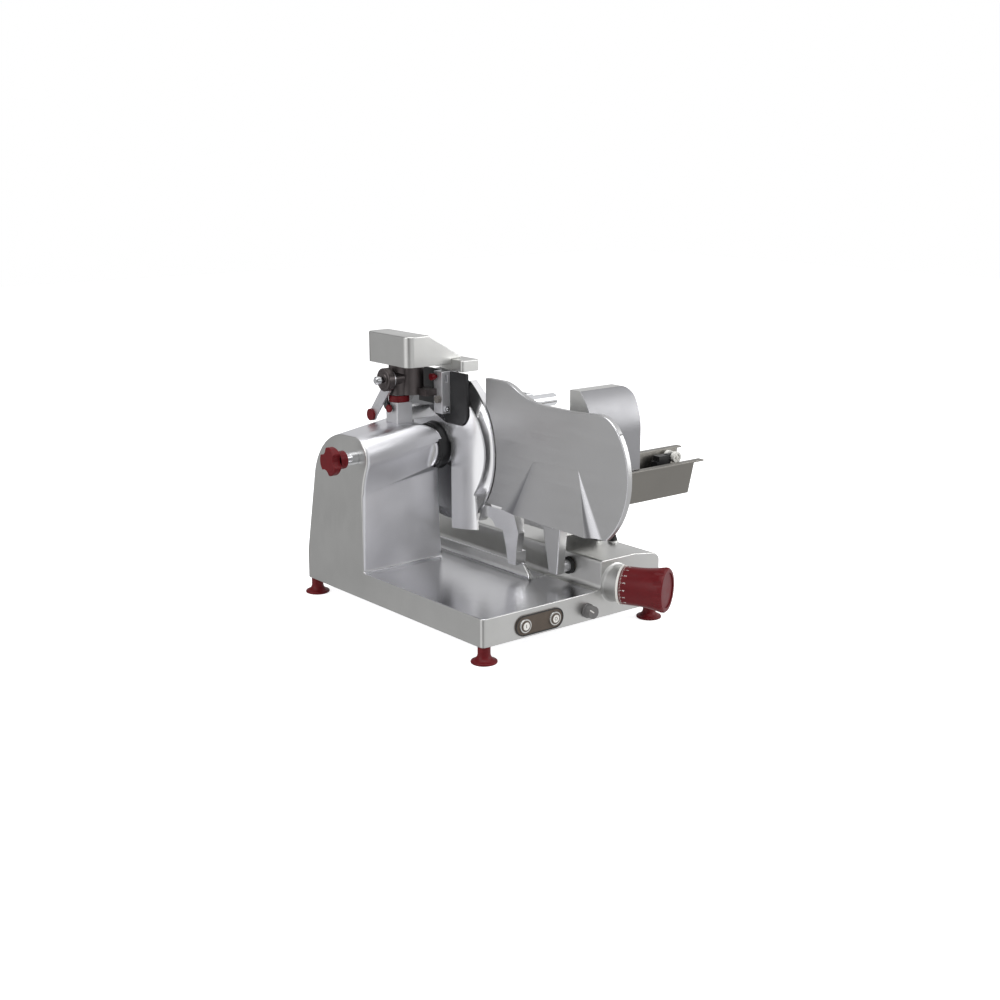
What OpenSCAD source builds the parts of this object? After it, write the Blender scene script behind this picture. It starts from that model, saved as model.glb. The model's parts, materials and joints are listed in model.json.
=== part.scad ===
// Upright electric food slicer with a vertical blade, in millimetres.
// Places are measured from the floor below the front left corner of the base:
// X along the front, Y towards the back, Z up. The finished parts are then
// shifted so that the origin lies on the floor below the middle of the whole machine.

/* [Base casting] */
// Width of the base
base_w = 430; // [425:1:440]
// Length of the base
base_l = 567; // [560:1:585]
// Underside of the base above the floor
base_z = 31; // [27:1:36]
// Top of the polished deck
deck_z = 84; // [82:1:88]
// Thickness of the side walls
wall = 8; // [6:0.5:9]
// Thickness of the deck
deck_t = 7; // [5:0.5:8]
// Radius of the upright corners
corner_r = 8; // [4:1:12]
// Left wall of the slide housing
housing_x = 277; // [275:1:279]
// Top of the slide housing
housing_z = 139; // [137:1:142]
// End of the flat top, where the shoulder starts
shoulder_x = 362; // [355:1:368]
// Fall of the top towards the shoulder
shoulder_drop = 6; // [3:0.5:8]
// Radius of the shoulder
shoulder_r = 27; // [22:1:30]
// Fillet where the deck meets an upright wall
fillet_r = 10; // [6:1:14]
// Left side of the lip beside the blade
lip_x = 222; // [220:1:226]
// Thickness of the lip
lip_t = 8; // [6:1:10]
// Height of the lip above the deck
lip_h = 24; // [18:1:26]
// Front end of the lip
lip_front = 112; // [108:1:114]
// Length of the ramp at the front of the lip
lip_ramp = 44; // [36:1:44]

/* [Tower] */
// Front of the tower at its waist
tower_front = 361; // [359:1:364]
// Lean of the front below the waist
tower_lean = 6; // [2:1:8]
// Radius of the bulge round the blade shaft
bulge_r = 41; // [41:0.5:44]
// Place of the bulge from the front, Y
bulge_y = 385; // [383:1:387]
// Height of the bulge on the left side
bulge_z = 300; // [297:1:303]
// Radius of the hollow below the bulge
waist_r = 150; // [120:5:180]
// Centre of the rounded back, Y
back_y = 418; // [414:1:422]
// Centre of the rounded back, Z
back_z = 226; // [222:1:230]
// Radius of the rounded back
back_r = 114; // [110:1:118]
// Lean of the back in degrees
back_lean = 11.5; // [8:0.1:12]
// Rise of the tower towards the blade in degrees
tower_tilt = 9; // [7:0.5:11]
// Top of the tower
tower_top = 358; // [355:1:361]
// Width of the tower below its crown
tower_w = 162; // [160:1:164]
// Width of the tower at the deck
tower_foot_w = 186; // [180:1:190]
// Radius of the crown
crown_r = 38; // [30:1:42]

/* [Feet and bottom] */
// Distance of each foot from the base sides
foot_in = 14; // [12:1:18]
// Radius of the foot pad
foot_r = 24; // [20:1:26]
// Radius of the foot neck
foot_neck_r = 11.5; // [9:0.5:13]
// Thickness of the foot pad rim
foot_rim = 5; // [4:0.5:7]
// Thickness of the bottom cover
cover_t = 3; // [2:0.5:4]
// Play between the bottom cover and the casting
cover_play = 0.5; // [0.3:0.1:1]

/* [Front controls] */
// Centre of the control panel, X
panel_x = 128; // [122:1:134]
// Centre of the control panel, Z
panel_z = 54.5; // [53:0.5:56]
// Length of the control panel
panel_l = 111; // [106:1:118]
// Height of the control panel
panel_h = 38; // [35:1:40]
// Thickness of the control panel
panel_t = 2; // [1.5:0.5:3]
// Distance between the two buttons
button_gap = 69; // [64:1:72]
// Radius of a button
button_r = 10; // [9:0.5:11]
// Outer radius of a button ring
bezel_r = 13.5; // [12.5:0.5:15]
// Height of a button ring
bezel_h = 3; // [2:0.5:4]
// Height of a button above its ring
button_proud = 1.5; // [1:0.5:3]
// Selector knob, X
selector_x = 243; // [238:1:248]
// Selector knob, Z
selector_z = 52; // [50:0.5:54]
// Radius of the selector knob
selector_r = 13.5; // [12:0.5:16]
// Length of the selector knob
selector_l = 19; // [15:1:24]
// Clearance of a turning or sliding fit
fit = 0.05; // [0.02:0.01:0.09]

/* [Thickness control] */
// Centre of the index ring, X
knob_x = 312; // [310:1:314]
// Centre of the index ring in front of the base
knob_out = 18; // [17:0.5:20]
// Centre of the index ring, Z
knob_z = 92; // [90:0.5:93]
// Turn of the knob away from the blade in degrees
knob_tilt = 27; // [24:1:28]
// Length of the thickness knob
knob_l = 84; // [75:1:92]
// Radius of the knob at its scale
knob_rear_r = 35.5; // [33:0.5:36]
// Radius of the knob at its grip
knob_front_r = 41.5; // [39:0.5:43]
// Length of the scale band
scale_l = 22; // [16:1:26]
// Number of flutes in the grip
flutes = 12; // [8:1:16]
// Radius of each flute
flute_r = 9; // [7:0.5:11]
// Depth of each flute
flute_depth = 2.4; // [1.5:0.1:3]
// Radius of the index ring
ring_r = 37; // [36.5:0.5:39]
// Thickness of the index ring
ring_t = 4; // [3:0.5:6]
// Radius of the angled boss
boss_r = 33; // [32:0.5:34.5]
// Fillet at the root of the boss
boss_fillet = 8; // [5:0.5:10]
// Radius of the spigot that the knob turns on
spigot_r = 17; // [15:0.5:19]
// Length of the spigot
spigot_l = 30; // [24:1:36]
// Radius of the cam shaft
cam_shaft_r = 6; // [5:0.5:7]
// Largest radius of the spiral cam
cam_r = 26; // [25:0.5:26.5]
// Thickness of the spiral cam
cam_t = 8; // [6:0.5:10]
// Turn of the cam over the whole setting, in degrees
cam_turn = 300; // [280:5:310]
// Thickest slice
slice_max = 16; // [12:1:16]
// Radius of the cam follower roller
follower_r = 5; // [4:0.5:5.5]
// Gap between the cam and its follower
cam_gap = 0.5; // [0.4:0.05:0.8]

/* [Blade] */
// Blade axis, Y
axis_y = 384; // [383:0.5:386]
// Blade axis, Z
axis_z = 306; // [304:0.5:308]
// Cutting plane of the blade, X
blade_x = 218; // [217:0.5:219]
// Radius of the blade
blade_r = 150; // [148:0.5:151]
// Width of the bevel, measured along the radius
bevel_w = 22; // [18:1:26]
// Depth of the dished blade
blade_dish = 11; // [10:0.5:12]
// Thickness of the blade plate
blade_t = 5; // [4:0.5:6]
// Radius of the pilot hole in the blade
pilot_r = 24; // [22:0.5:26]
// Radius of the blade shaft
shaft_r = 15; // [14:0.5:16]
// Radius of the bore in the blade shaft
shaft_bore_r = 8; // [7.5:0.5:9]
// Radius of the shaft flange
flange_r = 38; // [36:1:42]
// Thickness of the shaft flange
flange_t = 8; // [6:0.5:9]
// Outer radius of the shaft bearings
bearing_r = 24; // [22:0.5:26]
// Width of a shaft bearing
bearing_w = 13; // [11:0.5:14]
// Radius of the black bearing flange
hub_r = 46; // [44:0.5:47]
// Radius of the blade pulley
blade_pulley_r = 26; // [24:0.5:27]
// Radius of the motor pulley
motor_pulley_r = 13; // [12:0.5:16]
// Width of the drive belt
belt_w = 12; // [10:0.5:14]
// Thickness of the drive belt
belt_t = 3; // [2:0.5:3.5]
// Gap between the belt and its pulleys
belt_gap = 0.3; // [0.2:0.05:0.5]
// Motor axis, Y
motor_y = 452; // [448:1:455]
// Motor axis, Z
motor_z = 142; // [138:1:146]
// Radius of the motor
motor_r = 52; // [46:1:54]
// Radius of the food side blade cover
blade_cover_r = 116; // [110:1:118]
// Thickness of the food side blade cover
blade_cover_t = 4; // [3:0.5:4.5]

/* [Blade guards] */
// Gap between the blade edge and the ring guard
guard_gap = 1.5; // [1:0.25:2]
// Width of the ring guard along the radius
guard_w = 11.5; // [10:0.5:12]
// Depth of the ring guard
guard_d = 16; // [14:0.5:18]
// Angle where the ring guard starts, above the front
guard_top = 57; // [50:1:60]
// Angle where the ring guard ends, below the front
guard_low = 47; // [44:1:50]
// Front of the ring guard leg at its foot
leg_y = 160; // [156:1:164]
// Radius of the slice deflector edge
deflector_r = 141; // [138:0.5:143]
// Thickness of the slice deflector
deflector_t = 4; // [3:0.5:5]
// Radius of the slice deflector's curve
deflector_curve = 150; // [140:5:170]
// Straight left side of the slice deflector, Y
deflector_side = 331; // [328:1:334]
// Bottom of the slice deflector
deflector_low = 150; // [146:1:154]
// Radius of the pin that carries the slice deflector
deflector_pin_r = 6; // [5:0.5:7]
// Corner radius of the notch for the sharpening stone
notch_r = 24; // [20:0.5:28]

/* [Gauge plate] */
// Thickness of the gauge plate
gauge_t = 11; // [9:0.5:12]
// Front end of the gauge plate, Y
gauge_front = -137; // [-142:0.5:-132]
// Radius of its rounded end
gauge_end_r = 143.5; // [140:0.5:147]
// Radius of the upper corner of that end
gauge_corner_r = 60; // [50:1:70]
// Height of the middle of its rounded end
gauge_mid_z = 318; // [316:0.5:320]
// Lower edge
gauge_low = 207; // [205:0.5:209]
// Top of the upper corner
gauge_crest = 427; // [425:0.5:430]
// Top of its straight stretch
gauge_top = 422.5; // [420:0.5:424]
// Top of its tip
gauge_tip_z = 453; // [450:0.5:456]
// Back of its tip, Y
gauge_tip_y = 250; // [246:1:252]
// Gap between the gauge plate and the ring guard
gauge_gap = 2; // [1.5:0.25:3]
// Radius of the sweep up to the tip
gauge_sweep_r = 200; // [180:5:220]
// Depth of the raised pad
pad_depth = 9; // [6:0.5:11]
// Radius of the gauge slide shaft
gauge_shaft_r = 11; // [10:0.5:11.5]
// Gauge slide shaft, Y
gauge_shaft_y = 87; // [85:0.5:89]
// Gauge slide shaft, Z
gauge_shaft_z = 113; // [112:0.5:114]
// Left side of the gauge arm
arm_x = 235; // [232:1:238]
// Depth of the gauge arm
arm_d = 19; // [16:1:20]
// Wall of the slide bush
bush_t = 4; // [3:0.5:5]
// Width of the shaft seal
seal_w = 6; // [4:0.5:8]

/* [Carriage] */
// Guide bar, X
bar_x = 385; // [383:1:387]
// Guide bar, Z
bar_z = 100; // [98:1:102]
// Radius of the guide bar
bar_r = 12; // [10:0.5:13]
// Travel of the carriage
carriage_travel = 310; // [290:5:315]
// Front of the carriage slider
slider_y = 120; // [118:1:124]
// Length of the carriage slider
slider_l = 90; // [80:1:96]
// Thickness of the carriage neck
neck_t = 14; // [12:1:16]
// Gap between the bed and the slide housing
bed_gap = 21; // [18:0.5:24]
// Thickness of the carriage bed
bed_t = 18; // [14:1:22]
// Carriage buffer, from the right side of the base
buffer_in = 34; // [32:1:36]
// Radius of the carriage buffer
buffer_r = 9; // [8:0.5:10]
// Height of the carriage buffer
buffer_h = 10; // [8:1:13]
// Left end of the trough
trough_x = 232; // [230:1:240]
// Length of the trough walls
trough_l = 288; // [275:1:300]
// Length by which the rims pass the trough walls
rim_past = 13; // [8:1:18]
// Underside of the trough
trough_z = 228; // [226:1:230]
// Top of the front rim
rim_front_z = 296; // [293:1:298]
// Top of the back rim
rim_back_z = 313; // [310:1:316]
// Sheet thickness of the trough
sheet = 3; // [2:0.5:4]
// Left end of the hand guard
guard_x = 252; // [250:1:256]
// Width of the hand guard
hand_guard_w = 122; // [115:1:128]
// Top of the hand guard
hand_guard_top = 450; // [445:1:454]
// Radius of the hand guard's curve
hand_guard_curve = 116; // [110:1:125]
// Wall of the hand guard
hand_guard_t = 4; // [3:0.5:5]
// Radius of the hand guard's corner
hand_guard_corner = 22; // [16:1:28]
// Clamp post, X
post_x = 258; // [256:1:262]
// Clamp post, Y
post_y = 205; // [202:1:208]
// Radius of the clamp post
post_r = 8; // [7:0.5:9]
// Radius of the clamp handle
clamp_handle_r = 12; // [10:0.5:13]
// Length of the clamp handle
clamp_handle_l = 64; // [58:1:70]
// Radius of a pusher roller
roller_r = 10.5; // [9:0.5:11]
// Pusher rollers, X
roller_x = 488; // [484:1:492]
// Pusher rollers, Z
roller_z = 301; // [299:0.5:303]

/* [Tie rod] */
// Radius of the tie rod
rod_r = 6; // [5.5:0.25:6.5]
// Radius of the chrome sleeve
sleeve_r = 13; // [11:0.5:14]
// Length of the chrome sleeve
sleeve_l = 26; // [20:1:32]
// Length of the knob hub
tie_hub_l = 20; // [16:1:24]
// Radius of the knob hub
tie_hub_r = 17; // [15:0.5:19]
// Thickness of the lobed grip
tie_grip_t = 16; // [12:1:20]
// Radius over the lobes
tie_grip_r = 27; // [24:0.5:29]
// Radius of each hollow between the lobes
tie_scallop_r = 16; // [13:0.5:19]

/* [Sharpener] */
// Left side of the block
block_x = 98; // [97:0.5:99]
// Width of the block
block_w = 36; // [34:1:38]
// Front of the block
block_y = 384; // [383:1:386]
// Depth of the block
block_d = 38; // [36:1:40]
// Top of the block
block_z = 399; // [397:0.5:401]
// Depth by which the block is let into the tower
block_seat = 4; // [3:0.5:6]
// Radius of the post
head_post_r = 13; // [12:0.5:14]
// Radius of the red collar
collar_r = 20; // [18:0.5:21]
// Height of the red collar
collar_h = 12; // [10:0.5:12.5]
// Bottom of the dark head
head_z = 412.5; // [412:0.5:416]
// Radius of the dark head body
head_r = 25; // [23:0.5:26]
// Bottom of the cover
hood_z = 472; // [470:0.5:475]
// Top of the cover
hood_top = 530; // [526:1:534]
// Left side of the cover
hood_x = 88; // [86:1:90]
// Front of the cover
hood_y = 332; // [329:1:335]
// Length of the cover
hood_l = 138; // [132:1:144]
// Width of the body of the cover
hood_w = 66; // [62:1:70]
// Radius of the upright corners of the cover
hood_r = 8; // [5:0.5:10]
// Wall of the cover
hood_t = 3; // [2.5:0.5:4]
// Depth of the sloping tail
tail_d = 42; // [38:1:46]
// Left side of the wheel cap
cap_x = 190; // [188:1:192]
// Width of the wheel cap
cap_w = 42; // [38:1:45]
// Front of the wheel cap
cap_y = 300; // [297:1:303]
// Length of the wheel cap
cap_l = 68; // [64:1:72]
// Height of the wheel cap
cap_h = 22; // [20:1:24]
// Left side of the bracket
bracket_x = 163; // [161:1:164]
// Width of the bracket
bracket_w = 20; // [18:1:21]
// Front of the bracket
bracket_y = 328; // [326:1:330]
// Depth of the bracket
bracket_d = 26; // [24:1:28]
// Bottom of the bracket
bracket_z = 378; // [375:1:381]
// Radius of the grinding stone
stone_r = 17; // [14:0.5:18]
// Thickness of the grinding stone
stone_t = 9; // [7:0.5:10]
// Radius of the stone spindle
spindle_r = 4; // [3:0.5:5]
// Radius of the honing stone
hone_r = 7; // [5:0.5:7.5]
// Radius of the plunger disc
disc_r = 22; // [20:0.5:23]
// Thickness of the plunger disc
disc_t = 12; // [10:0.5:14]
// Radius of the disc neck
neck_r = 12; // [10:0.5:13]
// Thickness of the swinging lever
lever_t = 4; // [3:0.5:4.5]

/* [Hidden] */
$fn = 64;
big = 900;
eps = 0.01;

// Extent of the whole machine, which sets the origin
tie_left = -sleeve_l - tie_hub_l - tie_grip_t;
rim_end = trough_x + trough_l + rim_past;
back_end = base_l - foot_in + foot_r;
mid_x = (tie_left + rim_end) / 2;
mid_y = (gauge_front + back_end) / 2;

// Blade side
blade_back = blade_x - blade_dish;
blade_front = blade_back + blade_t;
flange_x = blade_back - flange_t;
ring_in = blade_r + guard_gap;
ring_out = ring_in + guard_w;
cutout_r = ring_out + gauge_gap;
guard_back = blade_x + 3;
guard_face = guard_back - guard_d;
hub_end = flange_x - 2;
hub_x = 170;
deflector_x = blade_back - 21;
pin_at = [412, 372];
pin_top = pin_at[1] + 13;
notch_front = 276;
notch_back = 348;
notch_z = 357;

// Gauge plate
gauge_face = blade_x - 0.5;
gauge_x = gauge_face - gauge_t;
gauge_end_y = gauge_front + gauge_end_r;
sweep_c = [75, gauge_top + gauge_sweep_r];
sweep_end = 165;
sweep_side = sqrt(pow(gauge_sweep_r, 2) - pow(sweep_end - sweep_c[0], 2));
sweep_z = sweep_c[1] - sweep_side;
tip_r = (gauge_tip_z - sweep_z) / (1 - sweep_side / gauge_sweep_r);
tip_c = [sweep_end + tip_r * (sweep_end - sweep_c[0]) / gauge_sweep_r, gauge_tip_z - tip_r];
crest_z = gauge_crest - gauge_corner_r;
crest_run = gauge_end_r - gauge_corner_r;
crest_y = gauge_end_y - sqrt(pow(crest_run, 2) - pow(crest_z - gauge_mid_z, 2));
crest_touch = gauge_mid_z + (crest_z - gauge_mid_z) * gauge_end_r / crest_run;

// Spaces inside the casting
cavity_z = deck_z - deck_t;
web_x = 114;
belt_x = 122;
tower_wall_x = 148;
bearing_x = 64;
drive_y = 378;
drive_l = 142;
drive_top = 236;
bush_end = housing_x + wall + 15;
housing_in = housing_x + wall;
housing_right = 408;
housing_ceil = housing_z - wall;
slot_w = neck_t + 6;
slot_end = slider_y + slider_l + carriage_travel + 6;
slot_front = slider_y - 6;

// Cam
knob_y = -knob_out;
cam_y = 48;
cam_end = cam_y + cam_t + 5;
follower_x = knob_x + cam_r + follower_r + cam_gap;
follower_w = 18;

// Carriage
bed_z = housing_z + bed_gap;
table_z = trough_z;
trough_floor = trough_z + sheet;
rim_y = -7;
buffer_at = [base_w - buffer_in, slot_front - 18];
clamp_foot_z = 330;

// Sharpener
seat_z = tower_top - block_seat;
head_x = block_x + block_w / 2;
head_y = block_y + block_d / 2;
body_x = head_x + 22;
body_y = head_y - 8;
cap_share = 0.155;
cap_top = hood_z + cap_share * (hood_top - hood_z);
cap_low = cap_top - cap_h;
head_bore_top = hood_top - hood_t - 8;
post_room = 27;
stone_y = bracket_y + 8;
stone_z = 406;
stone_x = blade_back - 4 - stone_t;
plunger_y = head_y - 10;
plunger_z = 445;
lever_x = block_x - 7;
disc_x = lever_x - disc_t - lever_t - 1;
clamp_at = [head_y + 10, block_z - 8];
clamp_tip = [-12, -4];
lever_reach = [60, -76];
button_z = hood_z - 23;

module place() {
    translate([-mid_x, -mid_y, 0]) children();
}

// Block between two corners
module block(low, high) {
    translate(low) cube(high - low);
}

module rod_x(r, x0, x1, y, z) {
    translate([x0, y, z]) rotate([0, 90, 0]) cylinder(r = r, h = x1 - x0);
}

module rod_y(r, y0, y1, x, z) {
    translate([x, y1, z]) rotate([90, 0, 0]) cylinder(r = r, h = y1 - y0);
}

module rod_z(r, z0, z1, x, y) {
    translate([x, y, z0]) cylinder(r = r, h = z1 - z0);
}

// Half of space to the right of the plane through three points
module beyond(p, q, r) {
    n = cross(q - p, r - p) / norm(cross(q - p, r - p));
    translate(p) rotate([0, acos(n[2]), atan2(n[1], n[0])]) translate([-big, -big, 0])
        cube([2 * big, 2 * big, big]);
}

// Outline in Y and Z, drawn out along X
module along_x(x0, x1) {
    translate([x0, 0, 0]) rotate([90, 0, 90]) linear_extrude(x1 - x0) children();
}

// Outline in X and Z, drawn out along Y
module along_y(y0, y1) {
    translate([0, y1, 0]) rotate([90, 0, 0]) linear_extrude(y1 - y0) children();
}

// Outline in X and Y, drawn out along Z
module along_z(z0, z1) {
    translate([0, 0, z0]) linear_extrude(z1 - z0) children();
}

// Profile of radius and X, turned about the blade axis
module on_axis() {
    translate([0, axis_y, axis_z]) rotate([0, 90, 0]) rotate_extrude() children();
}

// Thickness knob axis, pointing away from the base
module on_knob() {
    translate([knob_x, knob_y, knob_z]) rotate([0, 0, knob_tilt]) rotate([90, 0, 0]) children();
}

module rounded(low, high, r) {
    translate([low[0] + r, low[1]]) square([high[0] - low[0] - 2 * r, high[1] - low[1]]);
    translate([low[0], low[1] + r]) square([high[0] - low[0], high[1] - low[1] - 2 * r]);
    for (x = [low[0] + r, high[0] - r], y = [low[1] + r, high[1] - r])
        translate([x, y]) circle(r);
}

// Hollow corner with its right angle at the origin, towards minus x and plus y
module cove(r) {
    difference() {
        translate([-r, -1]) square([r + 1, r + 1]);
        translate([-r, r]) circle(r);
    }
}

module stadium(l, h) {
    square([l - h, h], center = true);
    for (s = [-1, 1])
        translate([s * (l - h) / 2, 0]) circle(h / 2);
}

// Solid inside the belt's path round both pulleys, grown by a margin
module belt_path(grow, x0, x1) {
    a = [axis_y, axis_z];
    b = [motor_y, motor_z];
    ra = blade_pulley_r + grow;
    rb = motor_pulley_r + grow;
    span = norm(b - a);
    u = (b - a) / span;
    n = [-u[1], u[0]];
    c = (ra - rb) / span;
    s = sqrt(1 - c * c);
    p = c * u + s * n;
    q = c * u - s * n;
    rod_x(ra, x0, x1, a[0], a[1]);
    rod_x(rb, x0, x1, b[0], b[1]);
    along_x(x0, x1)
        polygon([a + (ra - eps) * p, b + (rb - eps) * p, b + (rb - eps) * q, a + (ra - eps) * q]);
}

// Side view of the tower, from the left
module tower_side() {
    low = [tower_front - waist_r, bulge_z - sqrt(pow(waist_r + bulge_r, 2)
        - pow(bulge_y - tower_front + waist_r, 2))];
    touch = [bulge_y, bulge_z] + bulge_r / (waist_r + bulge_r) * (low - [bulge_y, bulge_z]);
    tangent = [back_y + back_r * cos(back_lean), back_z + back_r * sin(back_lean)];
    foot_back = tangent[0] + tangent[1] * tan(back_lean);
    translate([bulge_y, bulge_z]) circle(bulge_r);
    difference() {
        polygon([[tower_front, low[1]], touch, [bulge_y, bulge_z], [back_y, low[1]]]);
        translate(low) circle(waist_r);
    }
    intersection() {
        translate([back_y, back_z]) circle(back_r);
        translate([back_y - 1, 0]) square([back_r + 2, big]);
    }
    polygon([[tower_front + tower_lean, 0], [tower_front, low[1]], [bulge_y, bulge_z],
        [bulge_y, bulge_z + bulge_r], [back_y, back_z + back_r], [back_y, back_z], tangent,
        [foot_back, 0]]);
}

// Front view of the tower
module tower_face() {
    polygon([[0, 0], [0, tower_top], [tower_w - crown_r, tower_top], [tower_w, tower_top - crown_r],
        [tower_w, bulge_z], [tower_foot_w, deck_z], [tower_foot_w, 0]]);
    translate([tower_w - crown_r, tower_top - crown_r]) circle(crown_r);
}

module housing_face() {
    top_r = 5;
    polygon([[housing_x, 0], [housing_x, housing_z - top_r], [housing_x + top_r, housing_z],
        [shoulder_x, housing_z], [base_w - shoulder_r, housing_z - shoulder_drop],
        [base_w, housing_z - shoulder_drop - shoulder_r], [base_w, 0]]);
    translate([base_w - shoulder_r, housing_z - shoulder_drop - shoulder_r]) circle(shoulder_r);
    translate([housing_x + top_r, housing_z - top_r]) circle(top_r);
    translate([housing_x, deck_z]) cove(fillet_r);
}

// Low wall beside the blade, which rises from the deck at its front
module lip() {
    difference() {
        along_y(lip_front, base_l) {
            translate([lip_x, deck_z - 1]) square([lip_t, lip_h + 1]);
            translate([lip_x, deck_z]) cove(fillet_r);
        }
        along_x(lip_x - fillet_r - 1, lip_x + lip_t + 1)
            polygon([[lip_front - 1, deck_z], [lip_front, deck_z], [lip_front + lip_ramp, deck_z + lip_h],
                [lip_front + lip_ramp, big], [lip_front - 1, big]]);
    }
}

// Straight boss whose end is cut off square to the knob
module knob_boss() {
    difference() {
        union() {
            rod_y(boss_r, knob_y - boss_r, wall, knob_x, knob_z);
            intersection() {
                translate([knob_x, 1, knob_z]) rotate([90, 0, 0]) rotate_extrude() difference() {
                    square([boss_r + boss_fillet, boss_fillet + 0.7]);
                    translate([boss_r + boss_fillet - 0.3, boss_fillet + 0.7]) circle(boss_fillet);
                }
                block([housing_x + 1, -big, base_z], [base_w, wall, big]);
            }
        }
        on_knob() translate([-big, -big, 0]) cube([2 * big, 2 * big, big]);
    }
}

module base_solid() {
    intersection() {
        along_z(base_z, big) rounded([0, 0], [base_w, base_l], corner_r);
        union() {
            block([0, 0, base_z], [base_w, base_l, deck_z]);
            along_y(0, base_l) housing_face();
            intersection() {
                rotate([0, -tower_tilt, 0]) along_x(-60, 300) tower_side();
                along_y(0, base_l) tower_face();
            }
            along_x(0, tower_foot_w) translate([tower_front + tower_lean, deck_z]) cove(fillet_r);
            lip();
            rod_z(buffer_r + 1, deck_z, housing_z, buffer_at[0], buffer_at[1]);
        }
    }
    knob_boss();
    on_knob() cylinder(r = spigot_r, h = spigot_l);
    rod_x(hub_r - 3, tower_wall_x, hub_x, axis_y, axis_z);
}

module foot_places() {
    for (x = [foot_in, base_w - foot_in], y = [foot_in, base_l - foot_in])
        translate([x, y]) children();
}

module cover_posts() {
    for (p = [[wall + 6, base_l / 2], [base_w - wall - 6, base_l / 2],
            [(panel_x + panel_l / 2 + selector_x) / 2, wall + 6], [base_w / 2, base_l - wall - 6]])
        translate(p) children();
}

// Open spaces below the deck, in the slide housing and in the tower
module base_spaces() {
    difference() {
        block([wall, wall, 0], [base_w - wall, base_l - wall, cavity_z]);
        along_z(0, big) foot_places() circle(foot_in);
        along_z(base_z + cover_t, big) cover_posts() circle(7);
    }
    difference() {
        block([housing_in, wall, cavity_z - 1], [housing_right, base_l - wall, housing_ceil]);
        rod_x(gauge_shaft_r + bush_t + 6, housing_x, bush_end, gauge_shaft_y, gauge_shaft_z);
    }
    block([wall, drive_y, cavity_z - 1], [web_x, drive_y + drive_l, drive_top]);
    block([belt_x, drive_y, cavity_z - 1], [tower_wall_x, drive_y + drive_l, drive_top]);
    belt_path(belt_t + 3, belt_x, tower_wall_x);
    block([bar_x - slot_w / 2, slot_front, housing_ceil - 1], [bar_x + slot_w / 2, slot_end, big]);
}

module base_bores() {
    rod_x(rod_r + fit, -1, bearing_x + 1, axis_y, axis_z);
    rod_x(bearing_r + fit, bearing_x, belt_x + 1, axis_y, axis_z);
    rod_x(bearing_r + fit, tower_wall_x - 1, big, axis_y, axis_z);
    rod_x(motor_pulley_r + 1, web_x - 1, belt_x + 1, motor_y, motor_z);
    for (s = [-1, 1])
        rod_y(button_r + fit, -1, wall + 1, panel_x + s * button_gap / 2, panel_z);
    rod_y(4 + fit, -1, wall + 1, selector_x, selector_z);
    rod_y(cam_shaft_r + fit, -1, wall + 1, knob_x, knob_z);
    rod_y(cam_shaft_r + 6, knob_y - 14, 0, knob_x, knob_z);
    on_knob() cylinder(r = cam_shaft_r + 6, h = spigot_l + 1);
    rod_x(gauge_shaft_r + bush_t + fit, housing_x - 1, bush_end + 1, gauge_shaft_y, gauge_shaft_z);
    rod_y(bar_r + fit, wall / 2, base_l - wall / 2, bar_x, bar_z);
    block([block_x, block_y, seat_z], [block_x + block_w, block_y + block_d, big]);
    rod_y(6, base_l - wall - 1, base_l + 1, 60, panel_z);
}

module base_casting() {
    color("#b4b5b3") place() difference() {
        base_solid();
        base_spaces();
        base_bores();
    }
}

module bottom_cover() {
    color("#8d8f90") place() along_z(base_z, base_z + cover_t) difference() {
        translate([wall + cover_play, wall + cover_play])
            square([base_w - 2 * wall - 2 * cover_play, base_l - 2 * wall - 2 * cover_play]);
        foot_places() circle(foot_in + cover_play);
    }
}

module feet() {
    color("#6e1019") place() foot_places() rotate_extrude() {
        difference() {
            square([foot_r - foot_rim / 2, base_z]);
            translate([foot_r, foot_rim + foot_r - foot_neck_r]) circle(foot_r - foot_neck_r);
            translate([foot_neck_r, foot_rim + foot_r - foot_neck_r]) square([foot_r, big]);
        }
        translate([foot_r - foot_rim / 2, foot_rim / 2]) circle(foot_rim / 2);
        square([foot_neck_r, base_z]);
    }
}

module cord_gland() {
    color("#1b1c1d") place() difference() {
        union() {
            rod_y(6, base_l - wall - 4, base_l + 1, 60, panel_z);
            rod_y(10, base_l, base_l + 5, 60, panel_z, $fn = 6);
            rod_y(7.5, base_l + 4, back_end, 60, panel_z);
        }
        rod_y(3.5, base_l - big, base_l + big, 60, panel_z);
    }
}

module control_panel() {
    color("#2c2622") place() difference() {
        along_y(-panel_t, 0) translate([panel_x, panel_z]) stadium(panel_l, panel_h);
        for (s = [-1, 1])
            rod_y(button_r + 0.4, -big, big, panel_x + s * button_gap / 2, panel_z);
    }
}

module button_bezels() {
    color("#c9cbc8") place() for (s = [-1, 1])
        translate([panel_x + s * button_gap / 2, -panel_t, panel_z]) rotate([90, 0, 0]) rotate_extrude()
            polygon([[button_r + 0.3, 0], [bezel_r, 0], [bezel_r - 1, bezel_h], [button_r + 0.3, bezel_h]]);
}

module push_button(x) {
    translate([x, wall + 4, panel_z]) rotate([90, 0, 0])
        cylinder(r = button_r, h = wall + 4 + panel_t + bezel_h + button_proud - 1);
    translate([x, -panel_t - bezel_h - button_proud + 1, panel_z]) rotate([90, 0, 0])
        cylinder(r1 = button_r, r2 = button_r - 2, h = 1);
}

module start_button() {
    color("#dfe3da") place() push_button(panel_x - button_gap / 2);
}

module stop_button() {
    color("#dfe3da") place() push_button(panel_x + button_gap / 2);
}

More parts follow.
